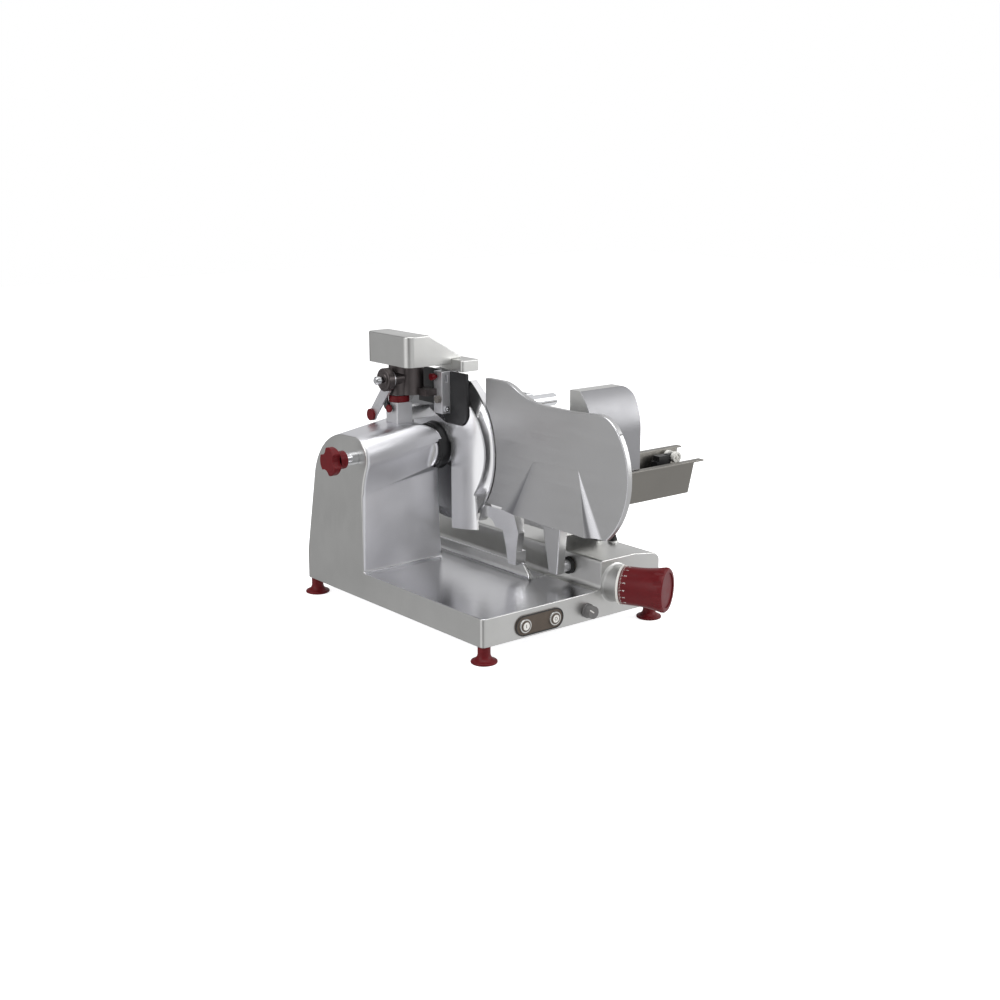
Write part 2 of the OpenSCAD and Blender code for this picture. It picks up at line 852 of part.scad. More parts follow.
module selector_knob() {
    color("#6c7072") place() difference() {
        union() {
            rod_y(4, -1, wall + 6, selector_x, selector_z);
            rod_y(selector_r, -5, -0.3, selector_x, selector_z);
            rod_y(selector_r - 1.5, -selector_l, -4, selector_x, selector_z, $fn = 12);
        }
        translate([selector_x - 1, -selector_l - 1, selector_z]) cube([2, 2.2, selector_r]);
    }
}

module index_ring() {
    color("#eceae4") place() on_knob() difference() {
        cylinder(r = ring_r, h = ring_t);
        translate([0, 0, -1]) cylinder(r = spigot_r + fit, h = ring_t + 2);
    }
}

// Knob profile from its scale band to its flared grip
module thickness_knob() {
    z0 = ring_t + 0.3;
    z1 = z0 + knob_l;
    flare = knob_front_r - knob_rear_r;
    run = knob_l - scale_l - 8;
    sweep = (run * run + flare * flare) / (2 * flare);
    color("#5e141c") place() on_knob() difference() {
        rotate_extrude() difference() {
            polygon([[0, z0], [knob_rear_r - 1, z0], [knob_rear_r, z0 + 1], [knob_rear_r, z0 + scale_l],
                [knob_front_r, z0 + scale_l], [knob_front_r, z1 - 3], [knob_front_r - 3, z1], [0, z1]]);
            intersection() {
                translate([knob_rear_r + sweep, z0 + scale_l]) circle(sweep, $fn = 128);
                translate([knob_rear_r, z0 + scale_l]) square([flare + 1, run]);
            }
        }
        for (i = [0:flutes - 1])
            rotate(i * 360 / flutes) translate([knob_front_r + flute_r - flute_depth, 0, z0 + scale_l])
                cylinder(r = flute_r, h = knob_l);
        translate([0, 0, z1 - 2]) cylinder(r = knob_front_r - 9, h = 3);
        difference() {
            cylinder(r = spigot_r + fit, h = spigot_l + 2);
            translate([0, 0, cam_shaft_r + 3.5]) cylinder(r = cam_shaft_r, h = spigot_l);
        }
    }
}

module cam_shaft() {
    color("#8a8d90") place() {
        translate([knob_x, knob_y, knob_z]) sphere(cam_shaft_r + 3);
        rod_y(cam_shaft_r, knob_y, cam_end, knob_x, knob_z);
    }
}

module spiral_cam() {
    step = 6;
    color("#a9854a") place() difference() {
        along_y(cam_y, cam_y + cam_t) translate([knob_x, knob_z])
            polygon([for (a = [0:step:cam_turn]) (cam_r - slice_max * a / cam_turn) * [cos(a), -sin(a)]]);
        rod_y(cam_shaft_r, cam_y - 1, cam_y + cam_t + 1, knob_x, knob_z);
    }
}

module motor() {
    fins = 14;
    color("#3c4247") place() difference() {
        union() {
            rod_x(motor_r, wall + 6, web_x - 10, motor_y, motor_z);
            rod_x(motor_r - 6, wall + 2, web_x, motor_y, motor_z);
        }
        for (i = [0:fins - 1])
            translate([0, motor_y, motor_z]) rotate([i * 360 / fins, 0, 0])
                block([wall + 14, motor_r - 4, -2], [web_x - 18, motor_r + 4, 2]);
        rod_x(6 + fit, web_x - 30, big, motor_y, motor_z);
    }
}

module pulley(r, y, z) {
    x0 = belt_x + 4;
    translate([0, y, z]) rotate([0, 90, 0]) rotate_extrude()
        polygon([[0, x0], [r + belt_t / 2, x0], [r + belt_t / 2, x0 + 1.5], [r, x0 + 1.5],
            [r, x0 + belt_w + 2.5], [r + belt_t / 2, x0 + belt_w + 2.5], [r + belt_t / 2, x0 + belt_w + 4],
            [0, x0 + belt_w + 4]]);
}

module motor_pulley() {
    color("#7d8286") place() {
        pulley(motor_pulley_r, motor_y, motor_z);
        rod_x(6, web_x - 29, belt_x + 5, motor_y, motor_z);
    }
}

module drive_belt() {
    x0 = belt_x + 6;
    color("#1e1e1f") place() difference() {
        belt_path(belt_gap + belt_t, x0, x0 + belt_w);
        belt_path(belt_gap, x0 - 1, x0 + belt_w + 1);
    }
}

module blade_pulley() {
    color("#7d8286") place() difference() {
        pulley(blade_pulley_r, axis_y, axis_z);
        rod_x(shaft_r + fit, belt_x, tower_wall_x, axis_y, axis_z);
    }
}

// Hollow shaft with a flange and a pilot for the blade
module blade_shaft() {
    color("#9a9da0") place() on_axis()
        polygon([[shaft_bore_r, bearing_x + 1], [shaft_r, bearing_x + 1], [shaft_r, flange_x],
            [flange_r, flange_x], [flange_r, blade_back], [pilot_r - fit, blade_back],
            [pilot_r - fit, blade_front - 1], [pilot_r - 7, blade_front - 1],
            [pilot_r - 7, blade_back - 4], [shaft_bore_r, blade_back - 4]]);
}

module blade_bearings() {
    color("#85888b") place() for (x = [bearing_x, tower_wall_x])
        on_axis() difference() {
            translate([shaft_r + fit, x]) square([bearing_r - shaft_r - fit, bearing_w]);
            translate([(bearing_r + shaft_r) / 2 - 2, x - 1]) square([4, 2]);
            translate([(bearing_r + shaft_r) / 2 - 2, x + bearing_w - 1]) square([4, 2]);
        }
}

module bearing_flange() {
    color("#17181a") place() on_axis()
        polygon([[shaft_r + 2, hub_x], [hub_r - 3, hub_x], [hub_r, hub_x + 3], [hub_r, hub_end - 6],
            [hub_r - 6, hub_end], [shaft_r + 2, hub_end]]);
}

// Dished blade with a ground bevel on the slice side
module blade() {
    color("#d5d8da") place() on_axis()
        polygon([[pilot_r, blade_back], [blade_r - bevel_w, blade_back], [blade_r, blade_x - 0.4],
            [blade_r, blade_x], [blade_cover_r + 4, blade_front + 1], [blade_cover_r + 2, blade_front],
            [pilot_r, blade_front]]);
}

module blade_cover() {
    x0 = blade_front + 1.3;
    color("#c6c8c9") place() on_axis()
        polygon([[rod_r + fit, blade_back - 2], [pilot_r - 9, blade_back - 2], [pilot_r - 9, x0],
            [blade_cover_r, x0], [blade_cover_r - 1, x0 + blade_cover_t - 1],
            [blade_cover_r - 3, x0 + blade_cover_t], [rod_r + fit, x0 + blade_cover_t]]);
}

// Ring sector outline between two angles from the front of the blade
module ring_sector(r0, r1, up, down) {
    difference() {
        translate([axis_y, axis_z]) circle(r1, $fn = 128);
        translate([axis_y, axis_z]) circle(r0, $fn = 128);
        translate([axis_y, axis_z])
            polygon([[0, 0], big * [-cos(up), sin(up)], [-cos(up) * big, big], [big, big], [big, -big],
                [-cos(down) * big, -big], big * [-cos(down), -sin(down)]]);
    }
}

module ring_guard() {
    foot_z = deck_z + lip_h;
    leg_top = gauge_low + 1;
    color("#aab0b8") place() {
        difference() {
            along_x(guard_face, guard_back) ring_sector(ring_in, ring_out, guard_top, guard_low);
            translate([0, axis_y, axis_z]) rotate([0, 90, 0])
                translate([0, 0, guard_face - 1]) cylinder(r1 = ring_out - 3, r2 = ring_in, h = 9);
        }
        along_x(guard_face + 1, lip_x + lip_t)
            polygon([[leg_y, foot_z], [leg_y - 2, foot_z + 26], [leg_y + 28, foot_z + 26],
                [leg_y + 22, foot_z]]);
        along_x(guard_face + 1, guard_back) difference() {
            polygon([[leg_y, foot_z], [leg_y - 2, foot_z + 28], [leg_y - 8, 172], [leg_y + 6, leg_top],
                [leg_y + 98, leg_top], [leg_y + 112, 174], [leg_y + 84, 174], [leg_y + 38, 169],
                [leg_y + 24, 124], [leg_y + 22, foot_z]]);
            translate([leg_y + 84, 160]) circle(26);
            translate([axis_y, axis_z]) circle(ring_in + guard_w / 2);
        }
    }
}

// Notch for the sharpening stone, taken in by a margin
module stone_notch(in) {
    c = [notch_front + notch_r, notch_z + notch_r];
    translate(c) circle(notch_r - in);
    translate([c[0], notch_z + in]) square([notch_back - in - c[0], big]);
    translate([notch_front + in, c[1]]) square([notch_back - notch_front - 2 * in, big]);
}

module deflector_outline() {
    difference() {
        union() {
            intersection() {
                translate([axis_y, axis_z]) circle(deflector_r, $fn = 128);
                translate([0, 200]) square([deflector_side, 224]);
            }
            polygon([[deflector_side, deflector_low], [deflector_side - 73, deflector_low + 9],
                [deflector_side - 68, 226], [deflector_side, 226]]);
            polygon([[deflector_side - 6, 320], [deflector_side - 6, 356], [notch_back, notch_z],
                [381, 370], [pin_at[0], pin_top], [453, 373], [453, 338], [420, 338]]);
        }
        translate([axis_y, axis_z]) circle(hub_r + 2.5);
        stone_notch(0);
    }
}

module slice_deflector() {
    x0 = deflector_x;
    bend = 300;
    color("#dcdedf") place() difference() {
        union() {
            intersection() {
                along_x(x0 - 1, blade_x) deflector_outline();
                block([0, bend - big, 0], [big, bend, big]);
                difference() {
                    rod_z(deflector_curve, 0, big, x0 + deflector_curve, bend, $fn = 200);
                    rod_z(deflector_curve - deflector_t, -1, big + 1, x0 + deflector_curve, bend,
                        $fn = 200);
                }
            }
            intersection() {
                along_x(x0, x0 + deflector_t) deflector_outline();
                block([0, bend, 0], [big, big, big]);
            }
            block([block_x + block_w + 1, pin_at[0] - 12, pin_at[1] - 12],
                [x0 + 1, pin_at[0] + 12, pin_top]);
        }
        rod_x(deflector_pin_r + fit, 0, big, pin_at[0], pin_at[1]);
    }
}

module gauge_outline() {
    difference() {
        union() {
            intersection() {
                translate([gauge_end_y, gauge_mid_z]) circle(gauge_end_r, $fn = 128);
                translate([gauge_front - 1, gauge_low]) square([gauge_end_r, crest_touch - 3 - gauge_low]);
            }
            translate([crest_y, crest_z]) circle(gauge_corner_r, $fn = 128);
            polygon([[crest_y, gauge_low], [crest_y, gauge_crest], [0, gauge_top],
                [sweep_c[0] + eps, gauge_top], [sweep_c[0] + eps, gauge_low]]);
            difference() {
                translate([sweep_c[0], gauge_low])
                    square([sweep_end - sweep_c[0] + eps, sweep_z - gauge_low]);
                translate(sweep_c) circle(gauge_sweep_r, $fn = 128);
            }
            intersection() {
                translate(tip_c) circle(tip_r, $fn = 128);
                translate([sweep_end, 0]) square([tip_c[0] - sweep_end + eps, big]);
            }
            translate([sweep_end, gauge_low + 5])
                square([tip_c[0] - sweep_end + eps, tip_c[1] - gauge_low - 5]);
            translate([tip_c[0], gauge_low + 5])
                square([gauge_tip_y - tip_c[0], gauge_tip_z - gauge_low - 5]);
        }
        translate([axis_y, axis_z]) circle(cutout_r, $fn = 128);
    }
}

// Raised pad that grows from nothing to its full depth at the lower edge, between two sloping flanks
module gauge_pad() {
    top = gauge_mid_z + 7;
    crest = gauge_x - pad_depth;
    left_top = [gauge_x, 105, top - 6];
    left_low = [crest, 146, gauge_low];
    right_top = [gauge_x, -5, top];
    right_low = [crest, -28, gauge_low];
    left_end = [gauge_x, 172, gauge_low];
    right_end = [gauge_x, -84, gauge_low];
    intersection() {
        along_x(crest - 1, gauge_x + 1)
            polygon([for (q = [left_top, right_top, right_end, left_end]) [q[1], q[2]]]);
        beyond(right_top, left_low, right_low);
        beyond(right_top, right_low, right_end);
        beyond(left_top, left_end, left_low);
    }
}

module gauge_plate() {
    arm_low = gauge_shaft_z - gauge_shaft_r + 1;
    color("#90918f") place() difference() {
        union() {
            along_x(gauge_x, gauge_face) gauge_outline();
            gauge_pad();
            along_x(arm_x, arm_x + arm_d)
                polygon([[gauge_shaft_y + 36, 222], [gauge_shaft_y - 22, 222],
                    [gauge_shaft_y - 12, arm_low], [gauge_shaft_y + 12, arm_low]]);
            along_x(gauge_face - 1, arm_x + 1)
                polygon([[gauge_shaft_y + 36, 222], [gauge_shaft_y - 22, 222], [gauge_shaft_y - 20, 196],
                    [gauge_shaft_y + 31, 196]]);
        }
        rod_x(gauge_shaft_r - 5, arm_x + 5, big, gauge_shaft_y, gauge_shaft_z);
    }
}

module gauge_shaft() {
    color("#b9bcbe") place() {
        rod_x(gauge_shaft_r, arm_x + arm_d, follower_x + follower_w / 2, gauge_shaft_y, gauge_shaft_z);
        rod_x(gauge_shaft_r - 5, arm_x + 5, arm_x + arm_d + 1, gauge_shaft_y, gauge_shaft_z);
    }
}

module slide_bush() {
    color("#b08d4f") place() difference() {
        rod_x(gauge_shaft_r + bush_t, housing_x, bush_end, gauge_shaft_y, gauge_shaft_z);
        rod_x(gauge_shaft_r + fit, 0, big, gauge_shaft_y, gauge_shaft_z);
    }
}

module shaft_seal() {
    color("#141415") place() difference() {
        rod_x(gauge_shaft_r + bush_t + 1, housing_x - seal_w, housing_x, gauge_shaft_y, gauge_shaft_z);
        rod_x(gauge_shaft_r + fit, 0, big, gauge_shaft_y, gauge_shaft_z);
    }
}

module cam_follower() {
    x0 = follower_x - follower_w / 2;
    color("#7d8286") place() {
        difference() {
            block([x0, gauge_shaft_y - 17, knob_z - 7],
                [x0 + follower_w, gauge_shaft_y + 17, gauge_shaft_z + 15]);
            rod_x(gauge_shaft_r, 0, big, gauge_shaft_y, gauge_shaft_z);
        }
        rod_y(3, cam_y - 4, gauge_shaft_y - 16, follower_x, knob_z);
    }
}

module follower_roller() {
    color("#b9bcbe") place() difference() {
        rod_y(follower_r, cam_y - 2, cam_y + cam_t + 2, follower_x, knob_z);
        rod_y(3 + fit, 0, big, follower_x, knob_z);
    }
}

module tie_rod() {
    color("#b9bcbe") place()
        rod_x(rod_r, -sleeve_l - tie_hub_l, blade_front + blade_cover_t, axis_y, axis_z);
}

module tie_rod_sleeve() {
    color("#d3d6d8") place() difference() {
        rod_x(sleeve_r, -sleeve_l, -0.3, axis_y, axis_z);
        rod_x(rod_r, -big, big, axis_y, axis_z);
    }
}

module tie_rod_knob() {
    x0 = -sleeve_l - tie_hub_l;
    color("#7a1720") place() difference() {
        on_axis() polygon([[0, tie_left], [tie_grip_r - 2, tie_left], [tie_grip_r, tie_left + 2],
            [tie_grip_r, x0 - 2], [tie_grip_r - 2, x0], [tie_hub_r, x0], [tie_hub_r, -sleeve_l],
            [rod_r, -sleeve_l], [rod_r, x0], [0, x0]]);
        for (a = [50:120:290])
            translate([0, axis_y, axis_z]) rotate([a, 0, 0])
                rod_x(tie_scallop_r, tie_left - 1, x0, tie_hub_r + 1 + tie_scallop_r, 0);
    }
}

module guide_bar() {
    color("#c4c7c9") place() rod_y(bar_r, wall / 2, base_l - wall / 2, bar_x, bar_z);
}

module carriage_slider() {
    half = bar_r + 9;
    color("#a5a7a6") place() difference() {
        union() {
            block([bar_x - half, slider_y, bar_z - half],
                [bar_x + half, slider_y + slider_l, bar_z + half]);
            block([bar_x - neck_t / 2, slider_y, bar_z],
                [bar_x + neck_t / 2, slider_y + slider_l, bed_z]);
        }
        rod_y(bar_r + fit, 0, big, bar_x, bar_z);
    }
}

module carriage_bed() {
    color("#b2b3b1") place() difference() {
        union() {
            block([290, slider_y - 8, bed_z], [400, 236, bed_z + bed_t]);
            block([330, slider_y, bed_z + bed_t - 1], [394, 228, table_z]);
        }
        for (y = [140, 180, 220])
            rod_z(4, bed_z + bed_t / 2, bed_z + bed_t + 1, 305, y);
    }
}

module carriage_buffer() {
    color("#161617") place() translate([buffer_at[0], buffer_at[1], housing_z])
        cylinder(r1 = buffer_r, r2 = buffer_r - 3, h = buffer_h);
}

module food_trough() {
    color("#6d6b62") place() {
        along_x(trough_x, trough_x + trough_l)
            polygon([[5, rim_front_z - sheet], [8, rim_front_z], [23, trough_floor], [44, trough_floor],
                [53, rim_back_z], [56, trough_z + 82], [47, trough_z], [20, trough_z]]);
        block([trough_x, rim_y, rim_front_z - sheet], [rim_end, 8, rim_front_z]);
        block([trough_x, 53, rim_back_z - sheet], [rim_end, 67, rim_back_z]);
    }
}

// Side view of the hand guard, taken in by a wall
module hand_guard_side(in) {
    bend_z = 370;
    intersection() {
        translate([4 + in, 0]) square([60, hand_guard_top - in]);
        union() {
            square([100, bend_z]);
            translate([4 + hand_guard_curve, bend_z]) circle(hand_guard_curve - in, $fn = 128);
        }
    }
}

module hand_guard() {
    right = guard_x + hand_guard_w;
    color("#c3c4c3") place() intersection() {
        difference() {
            along_x(guard_x, right) hand_guard_side(0);
            along_x(guard_x + hand_guard_t, right + 1) hand_guard_side(hand_guard_t);
            block([0, 8, 0], [guard_x + hand_guard_t + 1, 100, rim_back_z + 1]);
            block([guard_x + hand_guard_t, 60 - hand_guard_t, 0],
                [big, big, hand_guard_top - hand_guard_t]);
        }
        along_y(-10, 100) {
            translate([0, rim_front_z]) square([right - hand_guard_corner, big]);
            translate([0, rim_front_z]) square([right, hand_guard_top - hand_guard_corner - rim_front_z]);
            translate([right - hand_guard_corner, hand_guard_top - hand_guard_corner])
                circle(hand_guard_corner);
        }
    }
}

module food_table() {
    color("#bcbdbb") place() {
        block([230, 70, table_z], [404, 240, table_z + 4]);
        along_x(240, 396)
            polygon([[47 + 9 * 12 / 82, table_z + 12], [47 + 9 * 34 / 82, table_z + 34],
                [72, table_z + 4], [72, table_z]]);
        block([230, 236, table_z + 3], [404, 240, 316]);
    }
}

module clamp_post() {
    color("#c4c7c9") place() rod_z(post_r, table_z + 4, 420, post_x, post_y);
}

// Clamp that slides on its post, with a handle and a leg
module food_clamp() {
    color("#b7babb") place() difference() {
        union() {
            block([post_x - 15, post_y - 15, 376], [post_x + 15, post_y + 15, 424]);
            rod_x(clamp_handle_r, post_x + 14, post_x + 15 + clamp_handle_l, post_y, 405);
            block([post_x - 8, 110, 378], [post_x + 8, post_y - 14, 390]);
            block([post_x - 8, 110, clamp_foot_z], [post_x + 8, 124, 379]);
        }
        rod_z(post_r + fit, 0, big, post_x, post_y);
    }
}

// Toothed plate below the leg of the clamp
module clamp_plate() {
    color("#b7babb") place() {
        block([post_x - 16, 92, clamp_foot_z - 6], [post_x + 30, 150, clamp_foot_z]);
        for (x = [post_x - 10:12:post_x + 26], y = [98:12:146])
            translate([x, y, clamp_foot_z - 15]) cylinder(r1 = 0.6, r2 = 3, h = 10);
    }
}

module pusher() {
    color("#1d1d1e") place() difference() {
        union() {
            block([446, 26, trough_floor + 0.3], [476, 42, roller_z + 6]);
            block([440, 25, trough_floor + 6], [447, 43, roller_z - 4]);
            block([470, 29, roller_z - 8], [roller_x + 7, 37, roller_z + 7]);
        }
        rod_y(3 + fit, 0, big, roller_x, roller_z);
    }
}

module pusher_rollers() {
    color("#eeeeea") place() {
        rod_y(3, 19, 47, roller_x, roller_z);
        for (y = [20, 38])
            difference() {
                rod_y(roller_r, y, y + 8, roller_x, roller_z);
                rod_y(roller_r - 4, y - 5, y + 1.5, roller_x, roller_z);
                rod_y(roller_r - 4, y + 6.5, y + 12, roller_x, roller_z);
            }
    }
}

module sharpener_block() {
    color("#b0b3ba") place() {
        difference() {
            along_z(seat_z, block_z) rounded([block_x, block_y], [block_x + block_w, block_y + block_d], 2);
            rod_z(head_post_r, block_z - 20, big, head_x, head_y);
            rod_x(5 + fit, 0, block_x + 5.5, clamp_at[0], clamp_at[1]);
        }
        rod_x(deflector_pin_r, block_x + block_w - 1, deflector_x + deflector_t + 1, pin_at[0], pin_at[1]);
    }
}

module sharpener_post() {
    color("#5b5557") place() 
        rod_z(head_post_r, block_z - 20, head_bore_top - post_room, head_x, head_y);
}

module post_collar() {
    color("#7a1720") place() difference() {
        rod_z(collar_r, block_z, block_z + collar_h, head_x, head_y);
        rod_z(head_post_r, 0, big, head_x, head_y);
    }
}

// Dark head that slides on the post
module sharpener_head() {
    color("#2b2726") place() difference() {
        union() {
            rod_z(head_post_r + 6, head_z, hood_top - hood_t, head_x, head_y);
            rod_z(head_r, head_z, hood_z, body_x, body_y);
            rod_x(neck_r, lever_x - disc_t, head_x, plunger_y, plunger_z);
            rod_x(disc_r, disc_x, disc_x + disc_t, plunger_y, plunger_z);
            block([body_x, bracket_y + 17, head_z], [bracket_x, body_y, head_z + 13]);
        }
        rod_z(head_post_r + fit, 0, head_bore_top, head_x, head_y);
        rod_x(4 + fit, 0, lever_x + 4, plunger_y, plunger_z);
    }
}

// Catch on the side of the block
module clamp_lever() {
    color("#1d1d1e") place() {
        rod_x(5, block_x - 3, block_x + 5, clamp_at[0], clamp_at[1]);
        along_x(block_x - 6, block_x - 2.5) {
            translate(clamp_at) circle(7);
            translate(clamp_at + [-4, 0]) square([8, 20]);
            polygon([clamp_at + [0, 7], clamp_at + [0, -7], clamp_at + clamp_tip + [0, -5],
                clamp_at + clamp_tip + [0, 5]]);
            translate(clamp_at + clamp_tip) circle(5);
        }
    }
}

module hood_face(in) {
    polygon([[hood_x + in, hood_z - (in > 0 ? 1 : 0)], [hood_x + in, hood_top - in],
        [hood_x + 50 - in, hood_top - in], [cap_x + 24 - in, cap_top + 4 - in],
        [cap_x + 24 - in, hood_z - (in > 0 ? 1 : 0)]]);
}

// Plan of the cover, taken in by a wall
module hood_plan(in) {
    along_z(0, big)
        rounded([hood_x + in, hood_y + in], [hood_x + hood_w - in, hood_y + hood_l - in], hood_r - in);
    block([hood_x + hood_w / 2, hood_y + in, 0], [big, hood_y + tail_d - in, big]);
}

module sharpener_cover() {
    color("#bfc1c0") place() difference() {
        intersection() {
            along_y(hood_y, hood_y + hood_l) hood_face(0);
            hood_plan(0);
        }
        intersection() {
            along_y(hood_y, hood_y + hood_l) hood_face(hood_t);
            hood_plan(hood_t);
        }
        block([cap_x, 0, 0], [big, big, cap_top]);
    }
}

module wheel_cap() {
    color("#b3b4b8") place() difference() {
        along_z(cap_low, cap_top) rounded([cap_x, cap_y], [cap_x + cap_w, cap_y + cap_l], 5);
        along_z(cap_low - 1, cap_top - hood_t)
            rounded([cap_x + hood_t, cap_y + hood_t], [cap_x + cap_w - hood_t, cap_y + cap_l - hood_t], 3);
    }
}

module sharpener_bracket() {
    x1 = bracket_x + bracket_w;
    back = bracket_y + bracket_d;
    color("#9fa2a8") place() difference() {
        union() {
            block([bracket_x, bracket_y, bracket_z], [x1, back, cap_low]);
            block([x1 - 8, bracket_y + 2, cap_low - 6], [cap_x + 10, back, cap_low]);
        }
        rod_x(spindle_r + fit, 0, big, stone_y, stone_z);
        rod_x(3 + fit, 0, x1, bracket_y + 18, button_z);
        block([bracket_x + 8, 0, cap_low - 21], [bracket_x + 13, bracket_y + 7, cap_low - 7]);
        rod_y(3, 0, bracket_y + 6, bracket_x + 10, bracket_z + 9);
    }
}

// Black shield behind the stones, cut out for the bracket's foot under the cap
module stone_shield() {
    x0 = bracket_x + bracket_w;
    top = cap_low - 0.5;
    color("#141415") place() difference() {
        union() {
            along_x(x0, x0 + 5) intersection() {
                stone_notch(2);
                square([big, top]);
            }
            block([x0, notch_back - 20, pin_top + 5], [x0 + 5, head_y + 27, top]);
        }
        block([0, bracket_y + 1.5, cap_low - 6.5], [big, bracket_y + bracket_d + 0.5, big]);
        rod_x(spindle_r + 2, 0, big, stone_y, stone_z);
    }
}

module grinding_stone() {
    color("#54504c") place() {
        rod_x(stone_r, stone_x, stone_x + stone_t, stone_y, stone_z);
        rod_x(spindle_r, bracket_x - 8, stone_x + 1, stone_y, stone_z);
        rod_x(spindle_r + 3, bracket_x - 8, bracket_x - 0.3, stone_y, stone_z);
    }
}

module honing_stone() {
    color("#6f6a62") place() {
        rod_x(hone_r, cap_x + 25, cap_x + 33, cap_y + 24, cap_top - 14);
        rod_x(2.5, cap_x + 33, cap_x + cap_w - hood_t, cap_y + 24, cap_top - 14);
    }
}

module stone_button() {
    color("#7a1720") place() {
        rod_x(6.5, bracket_x - 13, bracket_x - 5, bracket_y + 18, button_z);
        rod_x(3, bracket_x - 6, bracket_x + 15, bracket_y + 18, button_z);
    }
}

module press_lever() {
    color("#8c8d8d") place() difference() {
        union() {
            rod_x(neck_r + 5, lever_x - lever_t, lever_x, plunger_y, plunger_z);
            rod_x(12, lever_x - lever_t, lever_x, plunger_y + lever_reach[0], plunger_z + lever_reach[1]);
            along_x(lever_x - lever_t, lever_x) translate([plunger_y, plunger_z])
                polygon([[-12, -9], [14, -4], lever_reach + [11, 2], lever_reach + [-10, -5]]);
        }
        rod_x(neck_r + fit, 0, big, plunger_y, plunger_z);
    }
}

module lever_grip() {
    color("#7a1720") place()
        rod_x(11.5, lever_x - lever_t - 5, lever_x - lever_t, plunger_y + lever_reach[0],
            plunger_z + lever_reach[1]);
}

module plunger() {
    color("#d3d6d8") place() translate([0, plunger_y, plunger_z]) rotate([0, 90, 0]) rotate_extrude()
        polygon([[0, disc_x - 20], [5, disc_x - 20], [8, disc_x - 17], [8, disc_x - 8], [5, disc_x - 5],
            [4, disc_x - 5], [4, lever_x + 2], [0, lever_x + 2]]);
}

base_casting();
bottom_cover();
feet();
cord_gland();
control_panel();
button_bezels();
start_button();
stop_button();
selector_knob();
index_ring();
thickness_knob();
cam_shaft();
spiral_cam();
motor();
motor_pulley();
drive_belt();
blade_pulley();
blade_shaft();
blade_bearings();
bearing_flange();
blade();
blade_cover();
ring_guard();
slice_deflector();
gauge_plate();
gauge_shaft();
slide_bush();
shaft_seal();
cam_follower();
follower_roller();
tie_rod();
tie_rod_sleeve();
tie_rod_knob();
guide_bar();
carriage_slider();
carriage_bed();
carriage_buffer();
food_trough();
hand_guard();
food_table();
clamp_post();
food_clamp();
clamp_plate();
pusher();
pusher_rollers();
sharpener_block();
sharpener_post();
post_collar();
clamp_lever();
sharpener_head();
sharpener_cover();
wheel_cap();
sharpener_bracket();
stone_shield();
grinding_stone();
honing_stone();
stone_button();
press_lever();
lever_grip();
plunger();
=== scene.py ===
"""Looks of an upright electric food slicer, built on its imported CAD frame."""
import json
from math import cos, pi, radians, sin

import bmesh
import bpy
from mathutils import Matrix, Vector

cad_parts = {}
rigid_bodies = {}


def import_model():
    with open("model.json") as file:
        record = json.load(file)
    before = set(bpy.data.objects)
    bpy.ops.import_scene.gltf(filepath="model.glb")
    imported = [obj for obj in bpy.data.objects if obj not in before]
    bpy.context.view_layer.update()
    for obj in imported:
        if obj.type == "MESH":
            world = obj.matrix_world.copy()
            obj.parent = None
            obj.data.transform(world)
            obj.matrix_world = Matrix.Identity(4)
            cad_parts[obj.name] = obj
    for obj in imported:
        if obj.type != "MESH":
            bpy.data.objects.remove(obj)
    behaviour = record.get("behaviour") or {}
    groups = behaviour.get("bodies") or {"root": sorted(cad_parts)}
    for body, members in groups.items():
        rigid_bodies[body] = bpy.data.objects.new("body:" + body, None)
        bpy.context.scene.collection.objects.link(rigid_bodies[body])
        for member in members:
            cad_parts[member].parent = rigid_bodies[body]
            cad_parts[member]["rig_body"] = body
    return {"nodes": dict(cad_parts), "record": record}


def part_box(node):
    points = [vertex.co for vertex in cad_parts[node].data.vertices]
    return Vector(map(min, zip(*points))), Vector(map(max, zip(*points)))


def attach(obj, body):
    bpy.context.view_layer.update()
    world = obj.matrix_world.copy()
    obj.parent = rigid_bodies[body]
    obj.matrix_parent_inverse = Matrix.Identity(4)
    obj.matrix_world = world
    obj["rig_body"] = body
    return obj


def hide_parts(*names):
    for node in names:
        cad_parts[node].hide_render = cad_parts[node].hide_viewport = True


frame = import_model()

NODES = frame["nodes"]
SLOT_OF = {part["node"]: part["material_slot"] for part in frame["record"]["subparts"]}
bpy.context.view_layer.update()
MM = 0.001
TINY = 1e-6
FRONT, LEFT, RIGHT = (0, -1, 0), (-1, 0, 0), (1, 0, 0)
UP, DOWN = (0, 0, 1), (0, 0, -1)


# Places, in millimetres from the floor below the front left corner of the base

BASE_WIDTH = 430
BASE_LENGTH = 567
BASE_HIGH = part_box("base_casting")[1]
CORNER = Vector((BASE_HIGH.x - BASE_WIDTH * MM, BASE_HIGH.y - BASE_LENGTH * MM, 0))
DECK = 84
DECK_END = 190
TOWER_FRONT = 340
TOWER_SIDE = 162
CROWN_X = 124
HUB = (150, 384, 306)
HUB_END = 170
HUB_RADIUS = 43
KNOB = (312, -18, 92)
LIP = (200, 231)
LIP_HEIGHT = 24
RAMP_FRONT = 112
RAMP_END = 156
SELECTOR = (243, 52)
COVER_RADIUS = 8
COVER_RIM = 472
CAP_LEFT = 186
CAP_RIM = 459

# How far the copies made here depart from the frame
TOWER_SPREAD = 12
HUB_NECK = 32
RAMP_LEFT = 0.5
SELECTOR_TURN = radians(-55)
COVER_GROWTH = 7


def at(x, y, z):
    """Point of the frame at a place."""
    return Vector((x, y, z)) * MM + CORNER


def place_of(point):
    """Place of a point of the frame."""
    return (point - CORNER) / MM


def new_object(name, data):
    """Object linked into the scene."""
    made = bpy.data.objects.new(name, data)
    bpy.context.scene.collection.objects.link(made)
    return made


# Shader nodes

NOISE = (0.3, 0.7)


